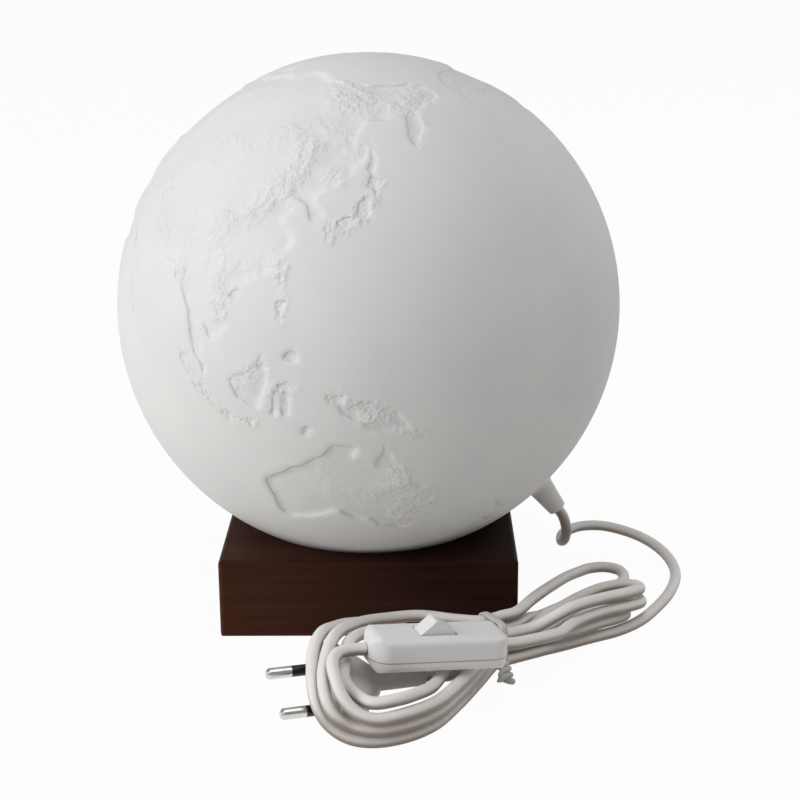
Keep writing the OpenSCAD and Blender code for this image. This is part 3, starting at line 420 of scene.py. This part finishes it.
BIG_LOOP = [[63.3, -55.5, 14.7], [69, -41, 12], [75, -26, 8.9], [81, -11.5, 5.7], [87, 0, 3],
            [92.5, 5.6, 2.4], [99, 6.8, 2.4], [104.3, 3.5, 2.4], [105.8, -3.5, 2.4],
            [103, -11.5, 2.4], [97, -19, 2.4], [88, -26.5, 2.4], [76.5, -35.5, 2.6],
            [67.5, -48, 4.6], [61.8, -60.5, 9.1]]

switch_dir = turn(SWITCH_TURN) @ (1, 0, 0)
plug_dir = turn(PLUG_TURN) @ (1, 0, 0)
switch_left = SWITCH_AT - switch_dir*SWITCH_L/2
switch_right = SWITCH_AT + switch_dir*SWITCH_L/2
plug_exit = PLUG_AT + plug_dir*NECK_END

SUPPLY_ROUTE = [
    plug_exit, plug_exit + plug_dir*CORD_D, [29.5, -107.5, 8], [33.5, -99, 5.6], [39.6, -88, 3.8],
    *slot_at(0, 0, WAIST_LEFT, 0, 6), *LOW_LOOP[::-1],
    *slot_at(-1, 1, 7, 0, WAIST_LEFT), *front_run(1), *SECOND_TURN,
    *slot_at(1, 2.5, WAIST_LEFT, 0, 5), *BIG_LOOP,
    *slot_at(1, 1.5, 5, 0, WAIST_LEFT), *INNER_TURN[::-1],
    *slot_at(0, 1.5, WAIST_LEFT, 0, 9), *TOP_LOOP[::-1],
    *slot_at(-1, 2, 7, 0, WAIST_LEFT), *front_run(2), *SWITCH_TURN_IN,
    switch_left - switch_dir*CORD_D, switch_left]
LAMP_ROUTE = [
    switch_right, switch_right + switch_dir*CORD_D, [61.5, -100.5, 18.8], [67.5, -92.5, 16.4],
    [72.5, -84, 14], *MID_LOOP,
    *slot_at(1, 0.45, 9, 0, WAIST_LEFT), *OUTER_TURN[::-1], *front_run(0)[::-1],
    *slot_at(-1, 0, WAIST_LEFT, TIE_A)]
holder_out = turn((0, 180 - HOLDER_POLAR, HOLDER_TURN)) @ (0, 0, 1)
boot_out = turn((0, 180 - HOLDER_POLAR + BOOT_DROOP, HOLDER_TURN)) @ (0, 0, 1)
boot_mouth = GLOBE_MID + BOOT_AT*holder_out + BOOT_LEN*boot_out
LEAD_ROUTE = [
    *slot_at(-1, 0, TIE_A, 0, 8, 12.5), [73.8, -71, 2.4], [85.6, -64, 2.4], [97, -57.5, 2.4],
    [106, -49.2, 2.4], [113, -39, 2.4], [123, -19, 2.4], [128, 1, 2.4], [126.5, 22, 2.4],
    [119.5, 40, 2.4], [110, 51, 2.4], [101.9, 55.6, 2.4], [92.7, 54.6, 2.4], [84.6, 46.4, 2.4],
    [82.8, 36, 2.9], [83.6, 28.9, 6.8], [83.8, 25.3, 13.2],
    boot_mouth + boot_out*(CORD_D + 0.3), boot_mouth + boot_out*0.3, boot_mouth - boot_out*1.5]


def cord_sheath():
    """Warm ivory sheath of soft plastic: a satin skin with faint scuffs, and painted shade that makes
    the underside darker and browner."""
    m = finish_of("cord_sheath", (0.76, 0.73, 0.7), 0.45, Specular_IOR_Level=0.4)
    scuffs = pattern(m, "ShaderNodeTexNoise", Scale=90, Detail=5)
    ramp = tint(m, scuffs, "Fac", (0.82, 0.79, 0.76), (0.88, 0.855, 0.825))
    # painted shade: the colour turns darker and browner where the surface faces down
    facing = node(m, "ShaderNodeNewGeometry")
    height = node(m, "ShaderNodeSeparateXYZ")
    painted_shade_mask = node(m, "ShaderNodeMapRange", interpolation_type="SMOOTHSTEP", From_Min=0.55,
                 From_Max=-0.35)
    painted_underside_shade = multiplied(m, ramp.outputs["Color"])
    painted_underside_shade.inputs[MIX_B].default_value = (0.36, 0.3, 0.25, 1)
    link(m, (facing, "Normal", height, "Vector"), (height, "Z", painted_shade_mask, "Value"),
         (painted_shade_mask, "Result", painted_underside_shade, MIX_FACTOR))
    skin = pattern(m, "ShaderNodeTexNoise", Scale=900, Detail=3)
    bump(m, skin, "Fac", 0.15, 0.00008)
    return m


CORD_STEP = 1.5                      # between the rings of a cord's mesh
sheath = cord_sheath()
supply_line = curve(SUPPLY_ROUTE, CORD_STEP)
lamp_line = curve(LAMP_ROUTE, CORD_STEP)
lead_line = curve(LEAD_ROUTE[::-1], CORD_STEP)
supply_cord = piece("supply_cord", [tube(supply_line, CORD_D/2)], sheath, "lamp")
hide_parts("hank_supply")
lamp_cord = piece("lamp_cord", [tube(lamp_line, CORD_D/2)], sheath, "lamp")
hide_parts("hank_lamp")
lead_cord = piece("lead_cord", [tube(lead_line, CORD_D/2)], sheath, None)
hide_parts("cord_lead")
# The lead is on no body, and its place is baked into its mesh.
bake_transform(lead_cord)

# The earth's relief: coasts as longitude and latitude in degrees, as in the part's source
LANDS = [
    [(-17, 15), (-16, 24), (-10, 30), (-6, 36), (10, 37), (11, 33), (20, 31), (32, 31), (35, 28),
     (39, 16), (43, 11), (51, 12), (46, 2), (40, -5), (41, -15), (35, -20), (35, -24), (32, -29),
     (26, -34), (18, -34), (12, -17), (13, -8), (9, 0), (9, 4), (3, 6), (-8, 4), (-13, 9)],
    [(44, -17), (50, -15), (50, -18), (47, -25), (44, -23)],
    [(-9, 37), (-9, 43), (-2, 43), (-4, 48), (2, 51), (8, 54), (9, 57), (11, 54), (19, 54), (22, 58),
     (29, 60), (22, 61), (25, 65), (17, 62), (18, 59), (13, 56), (5, 59), (6, 63), (15, 68),
     (27, 71), (40, 67), (60, 69), (68, 73), (80, 73), (100, 77), (113, 74), (130, 72),
     (150, 71), (170, 70), (179, 68), (178, 64), (163, 60), (162, 55), (157, 51), (156, 57),
     (160, 61), (150, 59), (142, 59), (137, 54), (141, 52), (140, 48), (132, 43), (127, 40),
     (129, 36), (126, 35), (125, 39), (122, 40), (118, 39), (122, 37), (119, 35), (122, 31),
     (121, 28), (117, 24), (110, 21), (106, 18), (109, 12), (105, 9), (102, 12), (100, 12),
     (104, 3), (103, 1), (99, 8), (98, 15), (95, 16), (92, 22), (87, 22), (80, 15), (77, 8),
     (73, 16), (70, 21), (66, 25), (57, 26), (48, 30), (51, 25), (56, 25.5), (59, 22),
     (52, 17), (43, 13), (35, 31), (36, 37), (27, 37), (26, 40), (22, 37), (19, 42),
     (13, 45), (18, 40), (16, 38), (10, 44), (3, 43), (0, 40), (-2, 37)],
    [(80, 9), (82, 7), (80, 6)], [(109, 19), (111, 20), (110, 18)],
    [(120, 23), (122, 25), (121, 22)],
    [(142, 54), (144, 49), (142, 46)], [(130, 33), (132, 33), (131, 31)],
    [(131, 34), (136, 36), (140, 41), (142, 39), (140, 35), (136, 34)],
    [(140, 42), (142, 45), (145, 43), (143, 42)],
    [(120, 18), (122, 18), (122, 14), (124, 13), (120, 14)], [(122, 7), (125, 9), (126, 7), (125, 6)],
    [(95, 5), (98, 4), (104, -2), (106, -6), (102, -4), (98, 1)],
    [(105, -6), (108, -6.5), (114, -7), (114, -8.5), (108, -8)],
    [(109, 1), (111, 2), (115, 5), (117, 7), (119, 5), (118, 1), (116, -4), (111, -3)],
    [(119, -5), (119, -2), (120, 1), (125, 1.5), (120.5, 0), (123, -1), (122, -5), (121, -3)],
    [(124, -10), (126, -8), (127, -8.5)],
    [(131, -1), (134, -1), (135, -3), (138, -2), (145, -4), (148, -8), (151, -10), (147, -9),
     (143, -9), (138, -8), (138, -6), (133, -4)],
    [(114, -22), (122, -18), (129, -15), (131, -12), (136, -12), (136, -15), (140, -17.5),
     (142, -11), (146, -19), (153, -26), (153, -31), (150, -37), (145, -39), (140, -37),
     (138, -34), (135, -35), (131, -31), (124, -33), (118, -35), (115, -34), (114, -27)],
    [(145, -41), (148, -41), (147, -43.5)], [(173, -35), (178, -38), (175, -41.5), (174, -39)],
    [(173, -41), (174, -42), (171, -46), (167, -46)],
    [(-165, 60), (-166, 68), (-156, 71), (-128, 70), (-110, 68), (-95, 69), (-82, 69), (-94, 61),
     (-92, 57), (-82, 55), (-79, 52), (-79, 58), (-78, 62), (-70, 62), (-65, 59), (-56, 52),
     (-65, 50), (-60, 46), (-70, 43), (-75, 38), (-76, 35), (-81, 31), (-80, 25), (-84, 30),
     (-90, 30), (-97, 28), (-97, 22), (-95, 18), (-90, 21), (-87, 21), (-88, 16), (-83, 15),
     (-82, 9), (-77, 8), (-80, 7), (-86, 12), (-94, 16), (-105, 20), (-112, 30), (-117, 33),
     (-124, 40), (-124, 48), (-133, 56), (-145, 60), (-155, 59)],
    [(-80, 73), (-68, 70), (-62, 66), (-68, 63), (-78, 65)],
    [(-92, 77), (-74, 83), (-68, 82), (-82, 76)],
    [(-70, 78), (-58, 82), (-30, 83), (-18, 78), (-22, 70), (-40, 65), (-44, 60), (-52, 65),
     (-54, 70), (-68, 76)],
    [(-84, 22), (-75, 20.5), (-77, 20)],
    [(-80, 1), (-78, 7), (-72, 12), (-62, 10), (-51, 4), (-48, -1), (-35, -6), (-39, -15),
     (-41, -22), (-48, -27), (-54, -34), (-57, -38), (-62, -39), (-65, -43), (-66, -48),
     (-69, -52), (-68, -55), (-74, -52), (-74, -42), (-71, -30), (-70, -18), (-76, -14), (-81, -6)],
    [(-5, 50), (1, 51), (0, 53), (-2, 56), (-4, 58.5), (-6, 56), (-3, 54)],
    [(-22, 64), (-14, 65), (-16, 66.5), (-24, 65.5)], [(53, 71), (68, 77), (56, 73)],
    [(-60, -64), (-60, -75), (-20, -74), (0, -70), (30, -69), (60, -67), (90, -66), (120, -67),
     (150, -68), (170, -72), (165, -78), (-160, -78), (-120, -74), (-90, -73), (-70, -71)]]

# Rough country, wooded or mountainous: how rough it is from 0 up, its half width in degrees,
# and the points of its middle line
ROUGH_COUNTRY = [
    (0.3, 5, [(78, 34), (88, 33), (97, 32), (102, 30)]), (0.8, 1.5, [(74, 35), (80, 30.5), (86, 28),
     (95, 28.5), (99, 26)]), (0.4, 1.8, [(68, 37), (74, 39), (80, 42), (88, 44)]),
    (0.35, 2, [(85, 49), (92, 51), (100, 52), (108, 53)]), (0.2, 3.5, [(95, 47), (105, 47), (112, 48)]),
    (0.6, 2, [(113, 56), (122, 56.5), (133, 56)]), (0.9, 1.6, [(122, 52), (120, 47), (117, 42)]),
    (0.85, 1.3, [(114, 41), (112, 37), (108, 34), (102, 33)]),
    (0.8, 1.3, [(131, 44), (128, 42), (127.5, 40), (128.5, 37)]), (0.6, 1.2, [(135, 44), (139, 50)]),
    (0.8, 2, [(127, 71), (129, 66), (135, 63), (141, 62)]), (0.8, 2, [(137, 69), (145, 66), (152, 62)]),
    (0.7, 2.2, [(152, 62), (162, 65), (172, 67)]), (1.0, 1, [(161, 58), (158, 54), (157, 52)]),
    (0.4, 1.2, [(60, 52), (59, 60), (65, 68)]), (0.9, 1.8, [(100, 27), (101, 23), (104, 20), (107, 15)]),
    (0.5, 2.2, [(107, 26), (112, 26), (118, 27)]), (0.8, 1, [(94, 26), (93.5, 20)]),
    (0.4, 0.6, [(99, 14), (99, 9), (102, 4)]), (0.4, 1, [(74, 20), (76, 12), (77, 9)]),
    (0.8, 1.6, [(44, 38), (48, 33), (53, 29), (58, 27)]),
    (0.8, 1.5, [(46, 38), (52, 36), (60, 36), (66, 35), (71, 36)]), (0.9, 0.9, [(40, 43.5), (47, 41.5)]),
    (0.6, 2, [(30, 38), (36, 38), (42, 39)]), (0.6, 1.5, [(37, 28), (42, 19), (44, 14)]),
    (0.9, 1.2, [(6.5, 45), (10, 46.5), (14, 47)]), (0.4, 1, [(20, 49), (25, 47), (24, 45.5)]),
    (0.5, 1, [(15, 45), (20, 42), (22, 40)]), (0.6, 0.7, [(-1.5, 43), (2.5, 42.5)]),
    (0.35, 3, [(-5, 40), (-3, 40)]), (0.6, 1.6, [(7, 60), (13, 64), (19, 68.5)]),
    (0.7, 1.3, [(-8, 31), (-2, 33), (6, 35.5)]), (0.4, 2, [(5, 23), (7, 23)]),
    (0.4, 2, [(17, 21), (19, 21)]), (1.0, 3, [(38, 13), (39, 8)]),
    (0.8, 1.8, [(37, 2), (36, -2), (31, 0), (30, -5), (34, -9)]),
    (0.6, 2.2, [(29, -29), (27, -31), (21, -32)]), (0.35, 5, [(24, -22), (28, -15)]),
    (0.4, 3, [(15, -13), (17, -22)]), (0.5, 1.2, [(48, -15), (46, -23)]),
    (0.7, 0.8, [(96, 4.5), (100, 0), (104, -5)]), (0.6, 0.6, [(106, -6.8), (110, -7.3), (115, -8.3)]),
    (0.5, 0.5, [(116, -8.5), (122, -8.6)]),
    (0.5, 1.3, [(117, 6), (115, 3), (112, 1)]), (0.5, 0.7, [(120, 0), (120, -4)]),
    (0.5, 0.5, [(121, 1), (125, 1.3)]), (0.8, 0.7, [(121, 18), (121, 14)]),
    (0.6, 0.7, [(125, 9), (125, 6.5)]),
    (1.0, 0.6, [(121, 24.5), (120.8, 22.8)]),
    (1.0, 0.9, [(130.8, 32.2), (133, 33.6), (136.5, 35.3), (138.5, 36.3), (140.3, 38.5), (141, 40.5)]),
    (0.8, 1, [(142, 43), (143.5, 43.5)]), (0.5, 0.5, [(143, 52), (142.7, 48)]),
    (0.85, 1.1, [(134, -1.5), (137, -4), (141, -5), (145, -6), (148, -9)]),
    (0.85, 1.6, [(145, -16), (147, -22), (151, -27), (150, -32), (147.5, -36), (144, -37)]),
    (0.75, 3, [(142, -27), (145, -33)]), (0.2, 2, [(126, -17), (128, -17)]),
    (0.2, 2, [(131, -24), (135, -24)]), (0.5, 0.8, [(146, -42), (147, -42)]),
    (0.9, 0.7, [(168, -45), (171.5, -43), (173, -41.8)]), (0.6, 0.8, [(175.5, -39.5), (176, -38.5)]),
    (1.0, 2.4, [(-106, 33), (-107, 39), (-111, 45), (-116, 51), (-124, 57), (-132, 60)]),
    (0.8, 1.4, [(-118, 36), (-120, 39), (-122, 45), (-123, 50), (-130, 56), (-139, 60), (-147, 61.5),
     (-152, 62)]), (0.6, 1.3, [(-160, 68), (-145, 68.5)]), (0.5, 3, [(-115, 40), (-110, 36)]),
    (0.9, 1.8, [(-108, 29), (-104, 23), (-99, 19), (-96, 17)]),
    (0.6, 0.9, [(-92, 15.5), (-87, 14), (-84, 10)]),
    (0.4, 1.4, [(-84, 35), (-79, 39), (-73, 43), (-69, 46)]),
    (0.6, 1.5, [(-65, 66), (-72, 71)]), (0.8, 1.6, [(-79, 80), (-77, 80)]),
    (1.1, 7, [(-42, 77), (-42, 70), (-45, 64)]),
    (1.2, 1.7, [(-72, 10), (-75, 5), (-78, 0), (-78, -7), (-74, -13), (-69, -17), (-67, -23), (-69, -30),
     (-70, -36), (-72, -43), (-73, -50)]), (0.4, 3, [(-44, -20), (-46, -14)]),
    (0.45, 2, [(-63, 5), (-61, 5)]), (0.9, 9, [(60, -78), (120, -77)]),
    (0.8, 2, [(165, -72), (160, -80)])]


def on_earth(lon, lat):
    """Direction of a longitude and latitude in degrees, as a point on the unit ball."""
    lon, lat = np.radians(lon), np.radians(lat)
    return np.stack([np.cos(lat)*np.cos(lon), np.cos(lat)*np.sin(lon), np.sin(lat)], axis=-1)


def to_arc(v, a, b):
    """Angle in degrees from each direction v to the nearest point of the arc from a to b: the
    distance to the arc's plane where the foot lies between the ends, else to the nearer end."""
    n = unit(np.cross(a, b))
    off = v @ n
    between = (np.cross(n, a) @ v.T > 0) & (np.cross(b, n) @ v.T > 0)
    ends = np.arccos(np.clip(np.maximum(v @ a, v @ b), -1, 1))
    return np.degrees(np.where(between, np.arcsin(np.clip(np.abs(off), 0, 1)), ends))


def inland(v):
    """Degrees inside the nearest coast, negative at sea. Insides are counted by rays in the
    plane that touches the ball at each outline's middle."""
    depth = np.full(len(v), -180.0)
    for outline in LANDS:
        p = on_earth(*np.array(outline, float).T)
        mid = unit(p.mean(axis=0))
        east = unit(np.cross((0.13, 0.31, 0.94), mid))
        flat = np.stack([east, np.cross(mid, east)], axis=1)
        reach = np.max(np.arccos(np.clip(p @ mid, -1, 1))) + 0.12
        near = np.flatnonzero(v @ mid > np.cos(min(reach, 1.5)))
        w = v[near]
        q, (x, y) = p @ flat, (w @ flat).T
        inside = np.zeros(len(near), bool)
        away = np.full(len(near), 180.0)
        for i in range(len(p)):
            (x1, y1), (x2, y2) = q[i - 1], q[i]
            inside ^= ((y1 > y) != (y2 > y)) & (x < (x2 - x1)*(y - y1)/(y2 - y1 + 1e-12) + x1)
            away = np.minimum(away, to_arc(w, p[i - 1], p[i]))
        depth[near] = np.maximum(depth[near], np.where(inside, away, -away))
    return depth


NARROW, SPREAD, BELL = 2.4, 1.2, 1.4   # two widths in degrees, and the bell's breadth


def roughness_at(v):
    """How rough the country is: each stretch is a bell across its middle line, stretches add
    up as the root of the sum of their squares, and wide ones are less rough than narrow ones."""
    squares = np.zeros(len(v))
    for rough, width, line in ROUGH_COUNTRY:
        p = on_earth(*np.array(line, float).T)
        away = np.min([to_arc(v, a, b) for a, b in zip(p[:-1], p[1:])], axis=0)
        spread = width + SPREAD
        squares += (rough*min(1, NARROW/width)*np.exp(-(away/spread)**2/BELL))**2
    return np.sqrt(squares)


LATTICE = 64


def value_noise(p, seed):
    """Smooth noise from 0 to 1: random values on a lattice with steps of 1, blended by a smooth
    step along each axis."""
    table = np.random.default_rng(seed).random((LATTICE, LATTICE, LATTICE))
    cell = np.floor(p).astype(int)
    f = smooth(p - cell)
    out = 0
    for dx in (0, 1):
        for dy in (0, 1):
            for dz in (0, 1):
                w = ((f[..., 0] if dx else 1 - f[..., 0])*(f[..., 1] if dy else 1 - f[..., 1])
                     * (f[..., 2] if dz else 1 - f[..., 2]))
                at = (cell + (dx, dy, dz)) % LATTICE
                out = out + w*table[at[..., 0], at[..., 1], at[..., 2]]
    return out


def ground_noise(v, size, shift, seed):
    """Smooth noise on the globe, in patches of the given size in millimetres."""
    return value_noise(v*GLOBE_R/size + shift, seed)


HIGHEST = 0.25                       # how far rough country may stand over the sea
FAR_INLAND = 8.0                     # degrees beyond which the coast no longer counts


def relief(v):
    """Height of the ground over the sea in millimetres, how rugged it is from 0 to 1, and the
    degrees from the coast, bent by a noise into coves. The land lies below the sea, less so
    where it is rugged or wooded."""
    depth = inland(v) + 1.9*(ground_noise(v, 4.5, 30, 4) - 0.5)
    land = smooth((depth + 0.5)/1.4)
    crags = roughness_at(v)*smooth((depth + 2.2)/2)
    rough = 0.5*ground_noise(v, 5, 200, 1) + 0.5*ground_noise(v, 2.8, 50, 2)
    patches = smooth(2.2*ground_noise(v, 9, 90, 3) - 0.5)
    rugged = np.clip(crags*(0.35 + 1.1*patches), 0, 1)
    height = land*(-LAND_DEPTH + rugged*(0.25 + 1.1*rough) + 0.12*(rough - 0.5))
    return (np.minimum(height, HIGHEST), np.clip(rugged + 0.02*land, 0, 1),
            np.clip(depth, -FAR_INLAND, FAR_INLAND))


RINGS, COLUMNS, INSIDE_RINGS = 196, 440, 22
SEAT_FROM, SEAT_FADE = 0.83, 0.03    # where the dish starts, as a share of the way down


def relief_globe():
    """Printed shell: rings about the port's axis from the far pole to the port's edge, moved
    in or out by the relief, then back round the inside wall. No land stands over the sea where
    the globe lies in the dish."""
    axis = holder_out
    side = unit(np.cross((0, 0, 1), axis))
    up = np.cross(axis, side)
    way_round = np.linspace(0, 2*np.pi, COLUMNS, endpoint=False)

    def ball(angle, radius):
        """Rings of the radius at the given angles from the port's axis."""
        a, t = angle[:, None, None], way_round[None, :, None]
        return radius*(np.cos(a)*axis + np.sin(a)*(np.cos(t)*side + np.sin(t)*up))

    v = ball(np.linspace(np.pi - 0.004, np.arcsin(PORT_R/GLOBE_R), RINGS), 1.0).reshape(-1, 3)
    height, rugged, depth = relief(v @ turn(EARTH_TURN))
    seat = smooth((-v[:, 2] - SEAT_FROM)/SEAT_FADE)
    height = height*(1 - seat) + np.minimum(height, 0)*seat
    outer = (v*(GLOBE_R + height)[:, None]).reshape(RINGS, COLUMNS, 3)
    wall_r = GLOBE_R - GLOBE_WALL
    inner = ball(np.linspace(np.arcsin(PORT_R/wall_r), np.pi - 0.02, INSIDE_RINGS), wall_r)
    shell = np.concatenate([outer, inner]) + GLOBE_MID
    made = piece("relief_globe", [shell], printed_white(), "globe")
    for name, found, elsewhere in (("rugged", rugged, 0), ("inland", depth, -FAR_INLAND)):
        values = np.full(len(made.data.vertices), elsewhere, np.float32)
        values[:len(found)] = found
        made.data.attributes.new(name, "FLOAT", "POINT").data.foreach_set("value", values)
    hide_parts("globe_shell")
    return made


relief_globe()

# The tie, in millimetres
STRIP_HALF_W, STRIP_HALF_T = 1.5, 0.42
STRIP_LOW, STRIP_OVER = 0.5, 0.67    # its middle line: over the floor, and over the top strand
TWIST_LEN, TWIST_WIRES = 11, (0, np.pi)
tie_finish = moulded("tie_paper", (0.62, 0.62, 0.6), 0.5)


def waist_frame(p):
    """Points given along, across and up in the waist's frame, put into the lamp's frame."""
    c, s = np.cos(WAIST_TURN), np.sin(WAIST_TURN)
    along, across, up = p[..., 0] + TIE_A, p[..., 1], p[..., 2]
    return np.stack([WAIST[0] + c*along - s*across, WAIST[1] + s*along + c*across, up], axis=-1)


def signed_power(x, power):
    """The size of x to a power, with the sign of x."""
    return np.sign(x)*np.abs(x)**power


def tie():
    """A flat strip round the bundle and its two ends twisted together in front. The strip's
    middle line is a rounded box, with cosine and sine to the power 0.35. The ends are a flat
    double helix towards the viewer, which widens as it goes."""
    half, top = 1.5*PITCH + 0.6, WAIST_Z + 2.5*PITCH + CORD_D/2 + STRIP_OVER
    tall = (top - STRIP_LOW)/2
    t = np.linspace(0, 2*np.pi, 72, endpoint=False)
    u = np.linspace(0, 2*np.pi, 12, endpoint=False)
    box = np.stack([half*signed_power(np.cos(t), 0.35), tall*signed_power(np.sin(t), 0.35)], axis=1)
    width, thick = STRIP_HALF_W*signed_power(np.cos(u), 0.5), STRIP_HALF_T*np.sin(u)
    out = unit(box/np.array([half, tall])**2)
    ring = np.stack([np.broadcast_to(width, (72, 12)), box[:, 0:1] + out[:, 0:1]*thick,
                     STRIP_LOW + tall + box[:, 1:2] + out[:, 1:2]*thick], axis=-1)
    ring = np.concatenate([ring, ring[:1]])
    k = np.linspace(0, 1, 70)[:, None]
    side, up, along = turn((105, 0, -np.degrees(WAIST_TURN))).T
    twist = []
    for phase in TWIST_WIRES:
        a = phase + np.radians(25*22)*k
        r = 0.9 + 1.32*k
        line = (0, -half - 0.25, 4.5) + r*np.cos(a)*side + 0.45*r*np.sin(a)*up + TWIST_LEN*k*along
        twist.append(tube(waist_frame(line), 0.95 + 0.25*k[:, 0], 12))
    made = piece("wire_tie", [waist_frame(ring), *twist], tie_finish, "lamp")
    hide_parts("cord_tie")
    return made


wire_tie = tie()

# Finishes of the CAD nodes
holder_white = moulded("holder_white", (0.84, 0.83, 0.81), 0.4)
switch_white = moulded("switch_white", (0.82, 0.81, 0.805), 0.36)
switch_up = turn(SWITCH_TURN) @ (0, 0, 1)
seam(switch_white, switch_up, (SWITCH_AT + SEAM_LOW*switch_up)*MM)
plug_white = moulded("plug_white", (0.7, 0.67, 0.635), 0.42)
nickel = metal("nickel", (0.7, 0.69, 0.67), 0.28)
brass = metal("brass", (0.72, 0.55, 0.27), 0.32)
FINISHES = {
    "base_block": dark_walnut(),
    **dict.fromkeys(["holder_skirt", "cord_grip", "holder_cap", "cord_boot"], holder_white),
    "holder_insert": moulded("insert_ceramic", (0.78, 0.77, 0.73), 0.22),
    **dict.fromkeys(["screw_shell", "centre_contact", "side_contact", "terminal_posts",
                     "contact_bridge", "switch_terminals"], brass),
    **dict.fromkeys(["clip_springs", "terminal_screws", "bulb_cap", "bulb_tip", "rocker_pin",
                     "switch_screws", "plug_pins"], nickel),
    "holder_wires": moulded("core_sheath", (0.25, 0.1, 0.05), 0.4),
    **dict.fromkeys(["cord_tail", "switch_wires"], sheath),
    "bulb_insulator": moulded("bulb_dark", (0.02, 0.02, 0.022), 0.2),
    "bulb_housing": moulded("bulb_white", (0.78, 0.78, 0.77), 0.35),
    "bulb_led_board": moulded("led_board", (0.7, 0.66, 0.35), 0.5),
    "bulb_envelope": moulded("bulb_frosted", (0.82, 0.82, 0.81), 0.55),
    **dict.fromkeys(["switch_lower", "switch_upper", "switch_rocker"], switch_white),
    "plug_body": plug_white,
    "pin_sleeves": moulded("sleeve_black", (0.012, 0.012, 0.012), 0.3),
}
for name, material in FINISHES.items():
    obj = NODES[name]
    for slot_ in obj.material_slots:
        slot_.material = material


# Floor, backdrop and light
FLOOR_HALF = 6                       # in metres
FLOOR_WHITE = 0.965                  # the share of white in the floor that the camera sees
AIM = (0, 0, 0.1)
LAMPS = {"window": ((-1.5, -0.62, 0.62), 1.0, 16.4), "ceiling": ((0.25, -0.35, 1.7), 1.2, 9.2),
         "rim": ((1.3, 1.1, 0.6), 1.0, 3.0)}   # place, size and power
ROOM_LIGHT = 0.29


def pale_floor():
    """A wide plane; the camera, gloss and glass see it paler than it is, and it keeps the
    lamp's shadow."""
    mesh = bpy.data.meshes.new("floor")
    corners = [(x*FLOOR_HALF, y*FLOOR_HALF, 0) for x, y in ((-1, -1), (1, -1), (1, 1), (-1, 1))]
    mesh.from_pydata(corners, [], [(0, 1, 2, 3)])
    floor = bpy.data.objects.new("floor", mesh)
    bpy.context.scene.collection.objects.link(floor)
    m = finish_of("floor", (0.72, 0.7, 0.68), 0.9, Specular_IOR_Level=0.0)
    nodes = m.node_tree.nodes
    path = node(m, "ShaderNodeLightPath")
    white = node(m, "ShaderNodeEmission", Color=(1, 1, 1, 1), Strength=1.0)
    seen = node(m, "ShaderNodeMath", operation="MAXIMUM")
    clear = node(m, "ShaderNodeMath", operation="MAXIMUM")
    part = node(m, "ShaderNodeMath", operation="MULTIPLY")
    part.inputs[1].default_value = FLOOR_WHITE
    mix = node(m, "ShaderNodeMixShader")
    link(m, (path, "Is Camera Ray", seen, 0), (path, "Is Glossy Ray", seen, 1), (seen, 0, clear, 0),
         (path, "Is Transmission Ray", clear, 1), (clear, 0, part, 0), (part, 0, mix, "Fac"),
         (nodes["Principled BSDF"], 0, mix, 1), (white, 0, mix, 2),
         (mix, 0, nodes["Material Output"], "Surface"))
    mesh.materials.append(m)


def soft_lamp(name, place, size, power):
    """A square soft box at a place, in metres, that faces the lamp's middle."""
    data = bpy.data.lights.new(name, "AREA")
    data.size, data.energy = size, power
    lamp = bpy.data.objects.new(name, data)
    back = unit(np.array(place, float) - np.array(AIM, float))
    right = unit(np.cross((0, 0, 1), back))
    m = np.eye(4)
    m[:3, :3] = np.stack([right, np.cross(back, right), back], axis=1)
    m[:3, 3] = place
    lamp.matrix_world = Matrix(m.tolist())
    bpy.context.scene.collection.objects.link(lamp)


def world_light():
    """Even light from all round; the camera and glass see it as a white backdrop."""
    world = bpy.data.worlds.new("studio")
    bpy.context.scene.world = world
    world.use_nodes = True
    nodes = world.node_tree.nodes
    plain = nodes["Background"]
    plain.inputs["Color"].default_value = (1, 1, 1, 1)
    plain.inputs["Strength"].default_value = ROOM_LIGHT
    white = node(world, "ShaderNodeBackground", Color=(1, 1, 1, 1), Strength=1.0)
    path = node(world, "ShaderNodeLightPath")
    seen = node(world, "ShaderNodeMath", operation="MAXIMUM")
    mix = node(world, "ShaderNodeMixShader")
    link(world, (path, "Is Camera Ray", seen, 0), (path, "Is Transmission Ray", seen, 1),
         (seen, 0, mix, "Fac"), (plain, 0, mix, 1), (white, 0, mix, 2),
         (mix, 0, nodes["World Output"], "Surface"))


pale_floor()
for name, (place, size, power) in LAMPS.items():
    soft_lamp(name, place, size, power)
world_light()
bpy.context.scene.view_settings.view_transform = "Standard"
